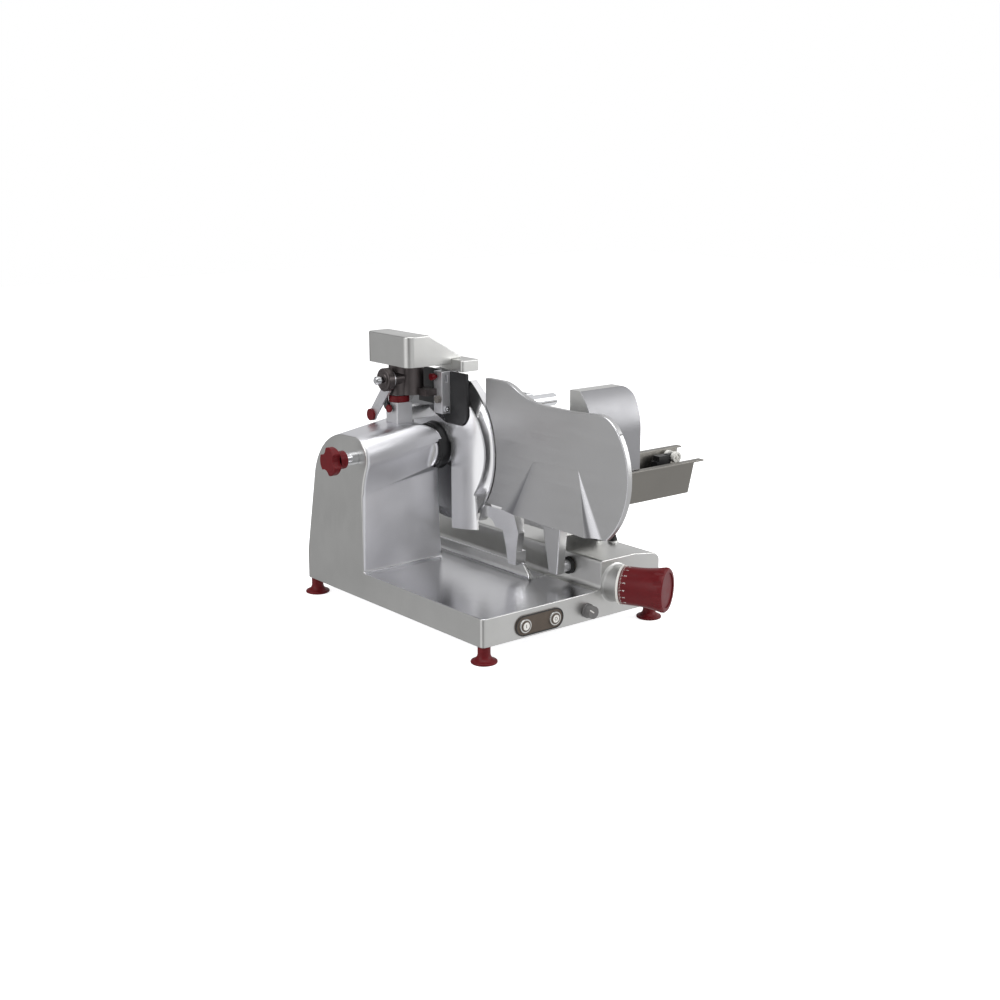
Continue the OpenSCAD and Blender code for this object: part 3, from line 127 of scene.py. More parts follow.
def new_material(name):
    """Material with its node tree and its Principled shader."""
    material = bpy.data.materials.new(name)
    material.use_nodes = True
    tree = material.node_tree
    return material, tree, tree.nodes["Principled BSDF"]


def node_of(tree, kind, **values):
    """Shader node with its sockets or settings filled in."""
    node = tree.nodes.new(kind)
    for key, value in values.items():
        if key in node.inputs:
            node.inputs[key].default_value = value
        else:
            setattr(node, key, value)
    return node


def noise_of(tree, scale, detail, stretch=(1, 1, 1)):
    """Noise in object space, stretched along the axes."""
    where = tree.nodes.new("ShaderNodeTexCoord")
    mapping = node_of(tree, "ShaderNodeMapping", Scale=stretch)
    noise = node_of(tree, "ShaderNodeTexNoise", Scale=scale, Detail=detail)
    tree.links.new(where.outputs["Object"], mapping.inputs["Vector"])
    tree.links.new(mapping.outputs["Vector"], noise.inputs["Vector"])
    return noise.outputs["Fac"]


def remapped(tree, value, source, target=(0, 1), interpolation="LINEAR"):
    """Value taken from one range to another."""
    limits = {"From Min": source[0], "From Max": source[1], "To Min": target[0], "To Max": target[1]}
    node = node_of(tree, "ShaderNodeMapRange", interpolation_type=interpolation, **limits)
    tree.links.new(value, node.inputs["Value"])
    return node.outputs["Result"]


def varied(tree, noise, middle, swing):
    """Number that a noise moves to both sides of its middle by a share."""
    return remapped(tree, noise, NOISE, (middle * (1 - swing), middle * (1 + swing)))


def tinted(tree, noise, colour, low, high):
    """Colour that a noise makes darker and lighter, between two factors."""
    ramp = tree.nodes.new("ShaderNodeValToRGB")
    for element, position, factor in zip(ramp.color_ramp.elements, NOISE, (low, high)):
        element.position = position
        element.color = (*(channel * factor for channel in colour), 1)
    tree.links.new(noise, ramp.inputs["Fac"])
    return ramp.outputs["Color"]


def bumped(tree, shader, noise, strength, distance):
    """Lets a noise roughen a shader's surface."""
    bump = node_of(tree, "ShaderNodeBump", Strength=strength, Distance=distance)
    tree.links.new(noise, bump.inputs["Height"])
    tree.links.new(bump.outputs["Normal"], shader.inputs["Normal"])


def combined(tree, operation, *values):
    """Values joined by one kind of sum, two at a time."""
    result = values[0]
    for value in values[1:]:
        node = node_of(tree, "ShaderNodeMath", operation=operation)
        tree.links.new(result, node.inputs[0])
        tree.links.new(value, node.inputs[1])
        result = node.outputs["Value"]
    return result


def blended(tree, factor, low, high, kind):
    """Mix of two numbers, of the kind Float, or of two colours, of the kind Color."""
    node = node_of(tree, "ShaderNodeMix", data_type="RGBA" if kind == "Color" else "FLOAT")
    sockets = {s.identifier: s for s in node.inputs}
    tree.links.new(factor, sockets["Factor_Float"])
    tree.links.new(low, sockets["A_" + kind])
    tree.links.new(high, sockets["B_" + kind])
    return {s.identifier: s for s in node.outputs}["Result_" + kind]


# Materials

METAL_CLOUD = {"scale": 9.0, "detail": 5.0}
METAL_SWING = 0.12
METAL_BUMP = 0.0004
STREAK_DETAIL = 3.0
AREA_CLOUD = {"scale": 14.0, "detail": 3.0}
AREA_TINT = 0.04
PLASTIC_CLOUD = {"scale": 40.0, "detail": 4.0}
PLASTIC_GRAIN = {"scale": 900.0, "detail": 2.0}
PLASTIC_BUMP = 0.0003
COAT_ROUGHNESS = 0.12
STONE_GRAIN = {"scale": 1400.0, "detail": 6.0}
STONE_TINT = (0.5, 1.6)
STONE_BUMP = 0.0006
SWING = 0.15


def metal(name, colour, rough, brush=(1, 1, 1), vary=0.06, bump=0.02, grain=260.0, metallic=1.0):
    """Metal with fine streaks in its roughness, tint and surface."""
    material, tree, shader = new_material(name)
    shader.inputs["Metallic"].default_value = metallic
    cloud = noise_of(tree, **METAL_CLOUD)
    streak = noise_of(tree, grain, STREAK_DETAIL, brush)
    tree.links.new(tinted(tree, cloud, colour, 1 - vary, 1 + vary), shader.inputs["Base Color"])
    tree.links.new(varied(tree, streak, rough, METAL_SWING), shader.inputs["Roughness"])
    bumped(tree, shader, streak, bump, METAL_BUMP)
    return material


def plastic(name, colour, rough, vary=0.1, grain=0.03, coat=0.0, gloss=0.5):
    """Moulded plastic with a faint grain."""
    material, tree, shader = new_material(name)
    shader.inputs["Specular IOR Level"].default_value = gloss
    shader.inputs["Coat Weight"].default_value = coat
    shader.inputs["Coat Roughness"].default_value = COAT_ROUGHNESS
    cloud = noise_of(tree, **PLASTIC_CLOUD)
    tree.links.new(tinted(tree, cloud, colour, 1 - vary, 1 + vary), shader.inputs["Base Color"])
    tree.links.new(varied(tree, cloud, rough, SWING), shader.inputs["Roughness"])
    bumped(tree, shader, noise_of(tree, **PLASTIC_GRAIN), grain, PLASTIC_BUMP)
    return material


def stone(name, colour, rough, bump):
    """Abrasive with coarse grains."""
    material, tree, shader = new_material(name)
    grains = noise_of(tree, **STONE_GRAIN)
    tree.links.new(tinted(tree, grains, colour, *STONE_TINT), shader.inputs["Base Color"])
    shader.inputs["Roughness"].default_value = rough
    bumped(tree, shader, grains, bump, STONE_BUMP)
    return material


def mask_of(tree, rows):
    """One inside an area, nothing outside it."""
    where = tree.nodes.new("ShaderNodeTexCoord")
    parts = {}
    for kind, output in (("normal", "Normal"), ("place", "Object")):
        split = tree.nodes.new("ShaderNodeSeparateXYZ")
        tree.links.new(where.outputs[output], split.inputs["Vector"])
        parts[kind] = split.outputs
    steps = []
    for kind, axis, outside, inside in rows:
        limits = (outside, inside)
        if kind == "place":
            limits = [CORNER["XYZ".index(axis)] + limit * MM for limit in limits]
        steps.append(remapped(tree, parts[kind][axis], limits, interpolation="SMOOTHSTEP"))
    return combined(tree, "MULTIPLY", *steps)


def refinish(material, rows, colour, rough):
    """Gives an area of a metal a colour and roughness of its own, used for the deck's polish and for painted
    highlights and painted shade.
    """
    tree = material.node_tree
    shader = tree.nodes["Principled BSDF"]
    mask = mask_of(tree, rows)
    cloud = noise_of(tree, **AREA_CLOUD)
    shine = varied(tree, cloud, rough, SWING)
    tint = tinted(tree, cloud, colour, 1 - AREA_TINT, 1 + AREA_TINT)
    for socket, value, kind in (("Roughness", shine, "Float"), ("Base Color", tint, "Color")):
        before = shader.inputs[socket].links[0].from_socket
        tree.links.new(blended(tree, mask, before, value, kind), shader.inputs[socket])


METALS = {
    "satin_casting": {"colour": (0.62, 0.62, 0.605), "rough": 0.36, "brush": (1, 1, 0.08)},
    "gauge_metal": {"colour": (0.52, 0.52, 0.52), "rough": 0.36, "brush": (1, 0.03, 1), "vary": 0.03},
    "polished_steel": {
        "colour": (0.93, 0.93, 0.94), "rough": 0.24, "brush": (1, 1, 0.1), "vary": 0.02, "bump": 0.001,
        "grain": 900.0, "metallic": 0.95,
    },
    "bright_chrome": {"colour": (0.80, 0.81, 0.83), "rough": 0.12, "brush": (0.05, 1, 1), "bump": 0.006},
    "machine_steel": {
        "colour": (0.68, 0.68, 0.70), "rough": 0.34, "brush": (1, 1, 0.1), "bump": 0.004, "metallic": 0.75,
    },
    "bezel_metal": {"colour": (0.7, 0.7, 0.68), "rough": 0.2},
    "dark_casting": {"colour": (0.12, 0.106, 0.105), "rough": 0.42, "vary": 0.2, "bump": 0.06},
    "bronze": {"colour": (0.5, 0.34, 0.15), "rough": 0.34},
}
PLASTICS = {
    "burgundy_plastic": {"colour": (0.125, 0.005, 0.008), "rough": 0.4, "gloss": 0.22},
    "white_plastic": {"colour": (0.8, 0.79, 0.75), "rough": 0.4, "vary": 0.03},
    "black_plastic": {"colour": (0.014, 0.014, 0.015), "rough": 0.36},
    "black_rubber": {"colour": (0.018, 0.018, 0.018), "rough": 0.62, "grain": 0.08},
    "panel_film": {"colour": (0.098, 0.077, 0.06), "rough": 0.45, "gloss": 0.3},
    "grey_plastic": {"colour": (0.15, 0.148, 0.146), "rough": 0.36, "coat": 0.3},
}
MATERIALS = {name: metal(name, **look) for name, look in METALS.items()}
MATERIALS.update({name: plastic(name, **look) for name, look in PLASTICS.items()})
MATERIALS["abrasive"] = stone("abrasive", colour=(0.13, 0.12, 0.11), rough=0.9, bump=0.6)

# Areas by the surface's normal and place: each row has an axis, the value where the area begins
# and the value where it is full
AREAS = {
    "tower_painted_highlight": (
        ("normal", "X", -0.8, -0.6), ("normal", "Y", 0.6, 0.3), ("place", "Z", DECK, DECK + 6),
        ("place", "Y", 330, 345), ("place", "Z", 375, 365), ("place", "X", 200, 192),
    ),
    "deck": (("normal", "Z", 0.5, 0.8), ("place", "Z", 150, 145), ("place", "X", 268, 258)),
    "hand_guard_painted_shade": (
        ("place", "X", 236, 244), ("place", "Z", 285, 290), ("place", "Y", 80, 70),
        ("normal", "Y", -0.1, -0.3),
    ),
    "knob_boss": (("place", "Y", -0.3, -1.5), ("normal", "Y", -0.99, -0.94), ("place", "X", 262, 266)),
    "pad_right_flank_painted_highlight": (("normal", "Y", -0.04, -0.16), ("normal", "X", -0.2, -0.4)),
    "pad_left_flank_painted_shade": (("normal", "Y", 0.06, 0.22), ("normal", "X", -0.7, -0.85)),
    "carriage_side_painted_shade": (("place", "X", 258, 262),),
    "blade_left_painted_shade": (("normal", "X", -0.3, -0.5), ("place", "X", 203, 206), ("place", "Y", 304, 312)),
}
# Slot, area, colour and roughness; the deck row is a polish, the other rows are painted highlights and
# painted shade
FINISHES_AND_PAINTED_LIGHT = (
    # Painted highlight: the tower's front, right and top faces get a much lighter colour than its left side
    ("satin_casting", "tower_painted_highlight", (0.86, 0.86, 0.89), 0.34),
    ("satin_casting", "deck", (0.66, 0.66, 0.68), 0.225),
    # Painted shade: the hand guard's front and curved top are darkened to take down the softbox's highlight
    # on them
    ("satin_casting", "hand_guard_painted_shade", (0.3, 0.3, 0.31), 0.44),
    # Painted shade: the boss round the thickness knob is darkened, and made rougher, to hide the highlight on
    # its fillet
    ("satin_casting", "knob_boss", (0.5, 0.5, 0.49), 0.52),
    # Painted highlight: the gauge pad's right flank gets a lighter colour, with a smoother surface
    ("gauge_metal", "pad_right_flank_painted_highlight", (0.72, 0.72, 0.74), 0.16),
    # Painted shade: the gauge pad's left flank gets a dark colour
    ("gauge_metal", "pad_left_flank_painted_shade", (0.26, 0.26, 0.27), 0.36),
    # Painted shade: gauge metal beyond X 262 mm, on the carriage side, is darkened to a warm grey
    ("gauge_metal", "carriage_side_painted_shade", (0.24, 0.23, 0.21), 0.4),
    # Painted shade and painted reflection: the blade's left face is darkened as if it mirrored the shaded
    # side of the tower
    ("polished_steel", "blade_left_painted_shade", (0.34, 0.34, 0.35), 0.2),
)
for slot, area, colour, rough in FINISHES_AND_PAINTED_LIGHT:
    refinish(MATERIALS[slot], AREAS[area], colour, rough)


# Copies of frame nodes with changed forms

def narrowed_hub(shape):
    """Turns the hub boss behind the black ring into a cone, so that it stays inside the ring."""
    hub = at(*HUB)
    for vert in shape.verts:
        off = (vert.co - hub).yz
        at_end = vert.co.x > at(HUB_END, 0, 0).x - TINY
        if at_end and HUB_RADIUS - 1 < off.length / MM < HUB_RADIUS + 1:
            vert.co.yz = hub.yz + off * HUB_NECK / HUB_RADIUS


def widened_tower(shape):
    """Moves the tower's right side out, as the photo shows it, more towards its top."""
    for vert in shape.verts:
        x, y, z = place_of(vert.co)
        if y > TOWER_FRONT and x < DECK_END:
            out = min(max((x - CROWN_X) / (TOWER_SIDE - CROWN_X), 0), 1)
            up = min(max((z - DECK) / (HUB[2] - DECK), 0), 1)
            vert.co.x += TOWER_SPREAD * out * up * MM


def shorter_ramp(shape):
    """Draws the foot of the ramp in front of the ring guard's lip back towards the guard's leg."""
    for vert in shape.verts:
        x, y, z = place_of(vert.co)
        ramp = RAMP_FRONT + (RAMP_END - RAMP_FRONT) * (z - DECK) / LIP_HEIGHT
        on_ramp = abs(y - ramp) < 0.3 and DECK - 0.1 < z < DECK + LIP_HEIGHT + 0.1
        if on_ramp and LIP[0] < x < LIP[1]:
            vert.co.y = at(0, RAMP_END - (RAMP_END - y) * RAMP_LEFT, 0).y


def reshaped_casting(shape):
    """Both changes to the base casting that come before its edges are rounded."""
    narrowed_hub(shape)
    shorter_ramp(shape)


def rounder_cover(shape):
    """Gives the two left corners of the sharpener cover a larger radius."""
    low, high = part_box("sharpener_cover")
    growth = COVER_GROWTH * MM
    for vert in shape.verts:
        for y, inward in ((low.y + COVER_RADIUS * MM, 1), (high.y - COVER_RADIUS * MM, -1)):
            middle = Vector((low.x + COVER_RADIUS * MM, y))
            off = vert.co.xy - middle
            if off.x < TINY and off.y * inward < TINY and off.length > TINY:
                moved = middle + Vector((1, inward)) * growth
                vert.co.x, vert.co.y = moved + off.normalized() * (off.length + growth)


def turned_selector(shape):
    """Turns the selector knob so that its groove points as in the photo."""
    turn = Matrix.Rotation(SELECTOR_TURN, 3, "Y")
    bmesh.ops.rotate(shape, cent=at(SELECTOR[0], 0, SELECTOR[1]), matrix=turn, verts=shape.verts)


# Edges to round

KNOB_CLEAR = 48
HUB_CLEAR = 46
TOWER_EDGE = (300, 420)
TOWER_EDGE_LOW = 88
UPRIGHT = 0.6
FACES_LEFT = -0.9
FACES_FRONT = -0.6


def middle_of(edge):
    """Point halfway along an edge."""
    return (edge.verts[0].co + edge.verts[1].co) / 2


def on_casting(edge):
    """Edges of the base casting except those behind the knob and behind the blade hub."""
    point = middle_of(edge)
    behind_knob = (point - at(*KNOB)).length < KNOB_CLEAR * MM
    behind_blade = point.x > at(*HUB).x and (point - at(*HUB)).yz.length < HUB_CLEAR * MM
    return not (behind_knob or behind_blade)


def on_tower_edge(edge):
    """Upright edge between the front and the left side of the tower."""
    y, z = place_of(middle_of(edge)).yz
    normals = [face.normal for face in edge.link_faces]
    upright = abs((edge.verts[0].co - edge.verts[1].co).normalized().z) > UPRIGHT
    front_left = min(n.x for n in normals) < FACES_LEFT and min(n.y for n in normals) < FACES_FRONT
    return upright and front_left and TOWER_EDGE[0] < y < TOWER_EDGE[1] and z > TOWER_EDGE_LOW


def outside_of_cover(edge):
    """Outer edges of the sharpener cover and the wheel cap, above their rims."""
    rim = COVER_RIM if middle_of(edge).x < at(CAP_LEFT, 0, 0).x else CAP_RIM
    low = min(vert.co.z for vert in edge.verts)
    return edge.is_convex and low > at(0, 0, rim).z + TINY


# Pieces made from the frame

CAD_ANGLE = 35
SMOOTH_ANGLE = 40
SHARP_ANGLE = 32
FLAT_ANGLE = 0.4
SEGMENTS = 3
WIDE_SEGMENTS = 5


def smooth(mesh, angle):
    """Smooth shading, with edges sharper than an angle kept."""
    for face in mesh.polygons:
        face.use_smooth = True
    mesh.set_sharp_from_angle(angle=radians(angle))


def round_off(shape, rule, width, segments):
    """Rounds the sharp edges that a rule allows."""
    limit = radians(SHARP_ANGLE)
    sharp = [e for e in shape.edges if e.is_manifold and e.calc_face_angle(0) > limit and rule(e)]
    bmesh.ops.bevel(
        shape, geom=sharp, offset=width * MM, offset_type="OFFSET", segments=segments,
        profile=0.5, affect="EDGES", clamp_overlap=False,
    )


def softened(node, width, rule=lambda edge: True, before=None, after=None, wide=None):
    """Copy of a CAD node whose sharp edges are rounded where a rule allows, some of them wider first."""
    slot = SLOT_OF[node]
    mesh = NODES[node].data.copy()
    mesh.name = "rounded_" + node
    shape = bmesh.new()
    shape.from_mesh(mesh)
    bmesh.ops.remove_doubles(shape, verts=shape.verts, dist=2 * TINY)
    bmesh.ops.dissolve_limit(shape, angle_limit=radians(FLAT_ANGLE), verts=shape.verts, edges=shape.edges)
    if before:
        before(shape)
    if wide:
        round_off(shape, wide["rule"], wide["width"], WIDE_SEGMENTS)
    round_off(shape, rule, width, SEGMENTS)
    if after:
        after(shape)
    shape.to_mesh(mesh)
    shape.free()
    smooth(mesh, SMOOTH_ANGLE)
    mesh.materials.clear()
    mesh.materials.append(MATERIALS[slot])
    piece = new_object("rounded_" + node, mesh)
    piece.modifiers.new("flats", "WEIGHTED_NORMAL").keep_sharp = True
    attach(piece, NODES[node]["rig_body"])
    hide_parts(node)


# Rounding of each copied node, in millimetres, with what else is done to it
ROUNDED = {
    "base_casting": {
        "width": 2.0, "rule": on_casting, "before": reshaped_casting, "after": widened_tower,
        "wide": {"rule": on_tower_edge, "width": 6},
    },
    "gauge_plate": {"width": 1.6},
    "slice_deflector": {"width": 0.5},
    "sharpener_cover": {"width": 2.5, "rule": outside_of_cover, "before": rounder_cover},
    "wheel_cap": {"width": 2.5, "rule": outside_of_cover},
    "sharpener_block": {"width": 1.2},
    "sharpener_bracket": {"width": 0.8},
    "hand_guard": {"width": 1.2},
    "food_trough": {"width": 0.8},
    "food_table": {"width": 1.0},
    "carriage_bed": {"width": 1.5},
    "food_clamp": {"width": 0.8},
    "tie_rod_knob": {"width": 0.8},
    "selector_knob": {"width": 0.6, "before": turned_selector},
}


# Ways to make small pieces

def piece_from(shape, name, slot, body, angle=SMOOTH_ANGLE):
    """New piece from a mesh in the making, riding on a body."""
    mesh = bpy.data.meshes.new(name)
    bmesh.ops.recalc_face_normals(shape, faces=shape.faces)
    shape.to_mesh(mesh)
    shape.free()
    mesh.materials.append(MATERIALS[slot])
    smooth(mesh, angle)
    piece = new_object(name, mesh)
    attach(piece, body)


def join_rows(shape, low, high):
    """Faces between two closed rows with as many points."""
    for i in range(len(low)):
        j = (i + 1) % len(low)
        shape.faces.new((low[i], low[j], high[j], high[i]))


def turned(shape, profile, place, axis, count=32):
    """Adds a turned solid: (radius, height) pairs in millimetres about an axis through a place."""
    turn = Vector(UP).rotation_difference(Vector(axis)).to_matrix().to_4x4()
    stand = Matrix.Translation(at(*place)) @ turn
    rings = []
    for radius, height in profile:
        angles = [2 * pi * i / count for i in range(count)] if radius else [0]
        points = [Vector((radius * cos(a), radius * sin(a), height)) * MM for a in angles]
        rings.append([shape.verts.new(stand @ point) for point in points])
    for low, high in zip(rings, rings[1:]):
        for i in range(count):
            j = i + 1
            corners = (low[i % len(low)], low[j % len(low)], high[j % len(high)], high[i % len(high)])
            corners = list(dict.fromkeys(corners))
            if len(corners) > 2:
                shape.faces.new(corners)


def bar(shape, stand, size):
    """Adds a block about the middle of a stand, with its size in millimetres."""
    bmesh.ops.create_cube(shape, size=1, matrix=stand @ Matrix.Diagonal((*(side * MM for side in size), 1)))


# Raised pad of the gauge plate

PAD_FACE = 206.5
PAD_TOP = 325
PAD_LOW = 207
PAD_SUNK = 0.15
PAD_BACK = 1
PAD_GROWTH = 1.4
PAD_ROWS = 28
PAD_ANGLE = 14
PAD_STEPS = {"left": 10, "crest": 8, "right": 26}
PAD_CROWDING = 1.6
# Y of each flank at the top, of its crest and its foot at the plate's lower edge, depth there, and hollowness
PAD_LEFT = {"top": 106, "crest": 163, "foot": 205, "depth": 6, "hollow": 2}
PAD_RIGHT = {"top": -10, "crest": -46, "foot": -84, "depth": 16, "hollow": 3}


def flank(side, share, reach):
    """Y and depth of a flank at a share of the way down and of the way from its crest to its foot."""
    crest = side["top"] + (side["crest"] - side["top"]) * share
    foot = side["top"] + (side["foot"] - side["top"]) * share
    depth = side["depth"] * share ** PAD_GROWTH * (1 - reach) ** side["hollow"]
    return crest + (foot - crest) * reach, depth


def pad_row(share):
    """Y and depth across the pad, from its left foot over the crests to its right foot."""
    left, crest, right = PAD_STEPS["left"], PAD_STEPS["crest"], PAD_STEPS["right"]
    row = [flank(PAD_LEFT, share, 1 - i / left) for i in range(left)]
    (y0, d0), (y1, d1) = flank(PAD_LEFT, share, 0), flank(PAD_RIGHT, share, 0)
    row += [(y0 + (y1 - y0) * i / crest, d0 + (d1 - d0) * i / crest) for i in range(crest + 1)]
    return row + [flank(PAD_RIGHT, share, (i / right) ** PAD_CROWDING) for i in range(1, right + 1)]


def rim_of(sheet):
    """Points round a sheet of rows."""
    right = [row[-1] for row in sheet[1:]]
    left = [row[0] for row in sheet[-2:0:-1]]
    return sheet[0] + right + sheet[-1][-2::-1] + left


def build_gauge_pad():
    """Relief that grows from nothing to its full depth at the lower edge, with two hollow flanks."""
    shape = bmesh.new()
    front, back = [], []
    for i in range(PAD_ROWS + 1):
        z = PAD_TOP + (PAD_LOW - PAD_TOP) * i / PAD_ROWS
        row = pad_row(i / PAD_ROWS)
        front.append([shape.verts.new(at(PAD_FACE + PAD_SUNK - depth, y, z)) for y, depth in row])
        back.append([shape.verts.new(at(PAD_FACE + PAD_BACK, y, z)) for y, _ in row])
    for sheet in (front, back):
        for upper, lower in zip(sheet, sheet[1:]):
            for i in range(len(upper) - 1):
                shape.faces.new((upper[i], upper[i + 1], lower[i + 1], lower[i]))
    join_rows(shape, rim_of(front), rim_of(back))
    bmesh.ops.remove_doubles(shape, verts=shape.verts, dist=TINY)
    piece_from(shape, "gauge_pad", "gauge_metal", NODES["gauge_plate"]["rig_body"], PAD_ANGLE)


# Thickness scale

KNOB_TILT = radians(27)
KNOB_AXIS = Vector((sin(KNOB_TILT), -cos(KNOB_TILT), 0))
KNOB_SIDE = Vector((cos(KNOB_TILT), sin(KNOB_TILT), 0))
SCALE_RADIUS = 35.5
SCALE_MARKS = 16
SCALE_START = pi / 2
SCALE_ANGLE = 20
TICKS_PER_MARK = 5
TICK_HALF_WIDTH = 0.3
TICK_LONG = 4.5
TICK_SHORT = 2.4
TICK_ALONG = 6.0
TICK_FACES = ((0, 1, 3, 2), (4, 6, 7, 5), (0, 4, 5, 1), (2, 3, 7, 6), (0, 2, 6, 4), (1, 5, 7, 3))
DIGIT_SIZE = 7.0
DIGIT_ALONG = 17.5
DIGIT_STEPS = 3
PRINT = 0.15


def on_knob(angle, radius, along):
    """Point at an angle round the knob, at a radius and at a distance along its axis."""
    out = KNOB_SIDE * cos(angle) + Vector((0, 0, sin(angle)))
    return at(*KNOB) + (out * radius + KNOB_AXIS * along) * MM


def wrap(shape, points, faces, angle, along):
    """Adds flat print round the knob: points are (round, along, out) in millimetres from a mark."""
    made = []
    for u, v, w in points:
        made.append(shape.verts.new(on_knob(angle + u / SCALE_RADIUS, SCALE_RADIUS + w, along + v)))
    for face in faces:
        shape.faces.new([made[i] for i in face])


def digits(text):
    """Points and faces of a number, centred, in millimetres."""
    curve = bpy.data.curves.new("number", "FONT")
    curve.body = text
    curve.size = DIGIT_SIZE
    curve.align_x = "CENTER"
    curve.resolution_u = DIGIT_STEPS
    curve.extrude = PRINT
    number = new_object("number", curve)
    bpy.context.view_layer.update()
    mesh = number.evaluated_get(bpy.context.evaluated_depsgraph_get()).to_mesh()
    points = [(-v.co.x, -v.co.y, v.co.z) for v in mesh.vertices]
    faces = [tuple(f.vertices) for f in mesh.polygons]
    bpy.data.objects.remove(number)
    return points, faces


def build_scale():
    """White numbers and marks printed round the back of the knob."""
    shape = bmesh.new()
    ticks = SCALE_MARKS * TICKS_PER_MARK
    half = TICK_HALF_WIDTH
    for i in range(ticks):
        length = TICK_SHORT if i % TICKS_PER_MARK else TICK_LONG
        tick = [(u, v, w) for u in (-half, half) for v in (0, length) for w in (-PRINT, PRINT)]
        wrap(shape, tick, TICK_FACES, SCALE_START + 2 * pi * i / ticks, TICK_ALONG)
    for i in range(SCALE_MARKS):
        points, faces = digits(str(i))
        wrap(shape, points, faces, SCALE_START + 2 * pi * i / SCALE_MARKS, DIGIT_ALONG)
    piece_from(shape, "knob_scale", "white_plastic", "setting_knob", SCALE_ANGLE)


# Front controls

PANEL = (128, 54.5)
PANEL_SIZE = (111, 38)
PANEL_FACE = -2
PANEL_STEPS = 24
RIM_WIDTH = 2.2
RIM_BACK = PANEL_FACE + 0.2
RIM_FACE = PANEL_FACE - 0.6
BUTTON_FACE = -6.5
BUTTON_GAP = 69
BUTTON_RING = ((10.15, -1.6), (10.15, -0.95), (8.1, 0.2), (7.3, 0.2), (7.3, -0.3), (10.15, -1.6))
START_BAR = (1.2, 0.4, 6.4)
STOP_RING = ((3.3, -0.2), (3.3, 0.2), (2.3, 0.2), (2.3, -0.2), (3.3, -0.2))
SELECTOR_FACE = -18.2
SELECTOR_BAR = (2.2, 2, 11)


def stadium(inset):
    """Points round the panel, taken in by a margin."""
    radius = PANEL_SIZE[1] / 2 - inset
    reach = (PANEL_SIZE[0] - PANEL_SIZE[1]) / 2
    points = []
    for side, start in ((1, -pi / 2), (-1, pi / 2)):
        for i in range(PANEL_STEPS + 1):
            a = start + pi * i / PANEL_STEPS
            points.append((PANEL[0] + side * reach + radius * cos(a), PANEL[1] + radius * sin(a)))
    return points


def build_panel_rim():
    """Dark raised rim round the keypad."""
    shape = bmesh.new()
    rows = []
    for inset, y in ((0, RIM_BACK), (0, RIM_FACE), (RIM_WIDTH, RIM_FACE), (RIM_WIDTH, RIM_BACK)):
        rows.append([shape.verts.new(at(x, y, z)) for x, z in stadium(inset)])
    for low, high in zip(rows, rows[1:] + rows[:1]):
        join_rows(shape, low, high)
    piece_from(shape, "panel_rim", "black_plastic", "base")


def build_button_marks():
    """Dark ring on each button, with a bar on the start button and a circle on the stop button."""
    for body, side in (("start", -1), ("stop", 1)):
        middle = (PANEL[0] + side * BUTTON_GAP / 2, BUTTON_FACE, PANEL[1])
        shape = bmesh.new()
        turned(shape, BUTTON_RING, middle, FRONT, 48)
        if body == "start":
            bar(shape, Matrix.Translation(at(*middle)), START_BAR)
        else:
            turned(shape, STOP_RING, middle, FRONT)
        piece_from(shape, body + "_mark", "panel_film", body)


def build_selector_mark():
    """White mark in the groove of the selector knob."""
    shape = bmesh.new()
    middle = Matrix.Translation(at(SELECTOR[0], SELECTOR_FACE, SELECTOR[1]))
    out = Matrix.Translation((0, 0, SELECTOR_BAR[2] / 2 * MM))
    bar(shape, middle @ Matrix.Rotation(SELECTOR_TURN, 4, "Y") @ out, SELECTOR_BAR)
    piece_from(shape, "selector_mark", "white_plastic", "selector")


# Fasteners and small trim

COVER_SCREWS = ((14, 283.5, 31), (416, 283.5, 31), (213.25, 14, 31), (215, 553, 31))
COVER_SCREW = (4.5, 2.6)
BED_SCREWS = ((305, 140, 170), (305, 180, 170), (305, 220, 170))
BED_SCREW = (3.8, 9.5)
NUT = (6, 4)
LEG_NUT = (230, 171, 117)
BRACKET_NUT = (173, 328, 387)
HUB_RING = ((36, 0), (45, 0), (45, 8), (36, 8), (36, 0))
HUB_RING_X = 166
APRON = ((146, 473), (160, 469.5), (176, 463), (190.5, 459.5), (190.5, 473))
APRON_FRONT = 332
APRON_BACK = 335
CLAMP_TIP = ((0, -1), (7.5, -1), (7.5, 3), (6.5, 4.2), (4, 4.8), (0, 5))
CLAMP_TIP_PLACE = (92, 401, 387)
DISC_RINGS = (
    (21, -0.5), (21, 1), (20, 1.6), (17.5, 1.6), (17, 0.6), (12, 0.4), (11, 2.2), (6, 2.6), (5, -0.5),
)
DISC_PLACE = (74, 393, 445)


def socket_screw(shape, place, axis, radius, height):
    """Screw head with a round-edged rim and a socket."""
    rim, socket, floor = 0.12 * radius, 0.55 * radius, 0.45 * height
    profile = (
        (0, 0), (radius, 0), (radius, height - rim), (radius - rim, height), (socket, height),
        (socket * 0.9, floor), (0, floor),
    )
    turned(shape, profile, place, axis, 24)


def hex_nut(shape, place, axis, radius, height):
    """Six-sided nut with the rounded end of its bolt."""
    bolt, end = radius * 0.5, height * 1.45
    nut = ((0, 0), (radius, 0), (radius, height * 0.85), (radius * 0.9, height), (0, height))
    turned(shape, nut, place, axis, 6)
    bolt_end = ((0, height), (bolt, height), (bolt, height * 1.3), (bolt * 0.8, end), (0, end))
    turned(shape, bolt_end, place, axis, 16)


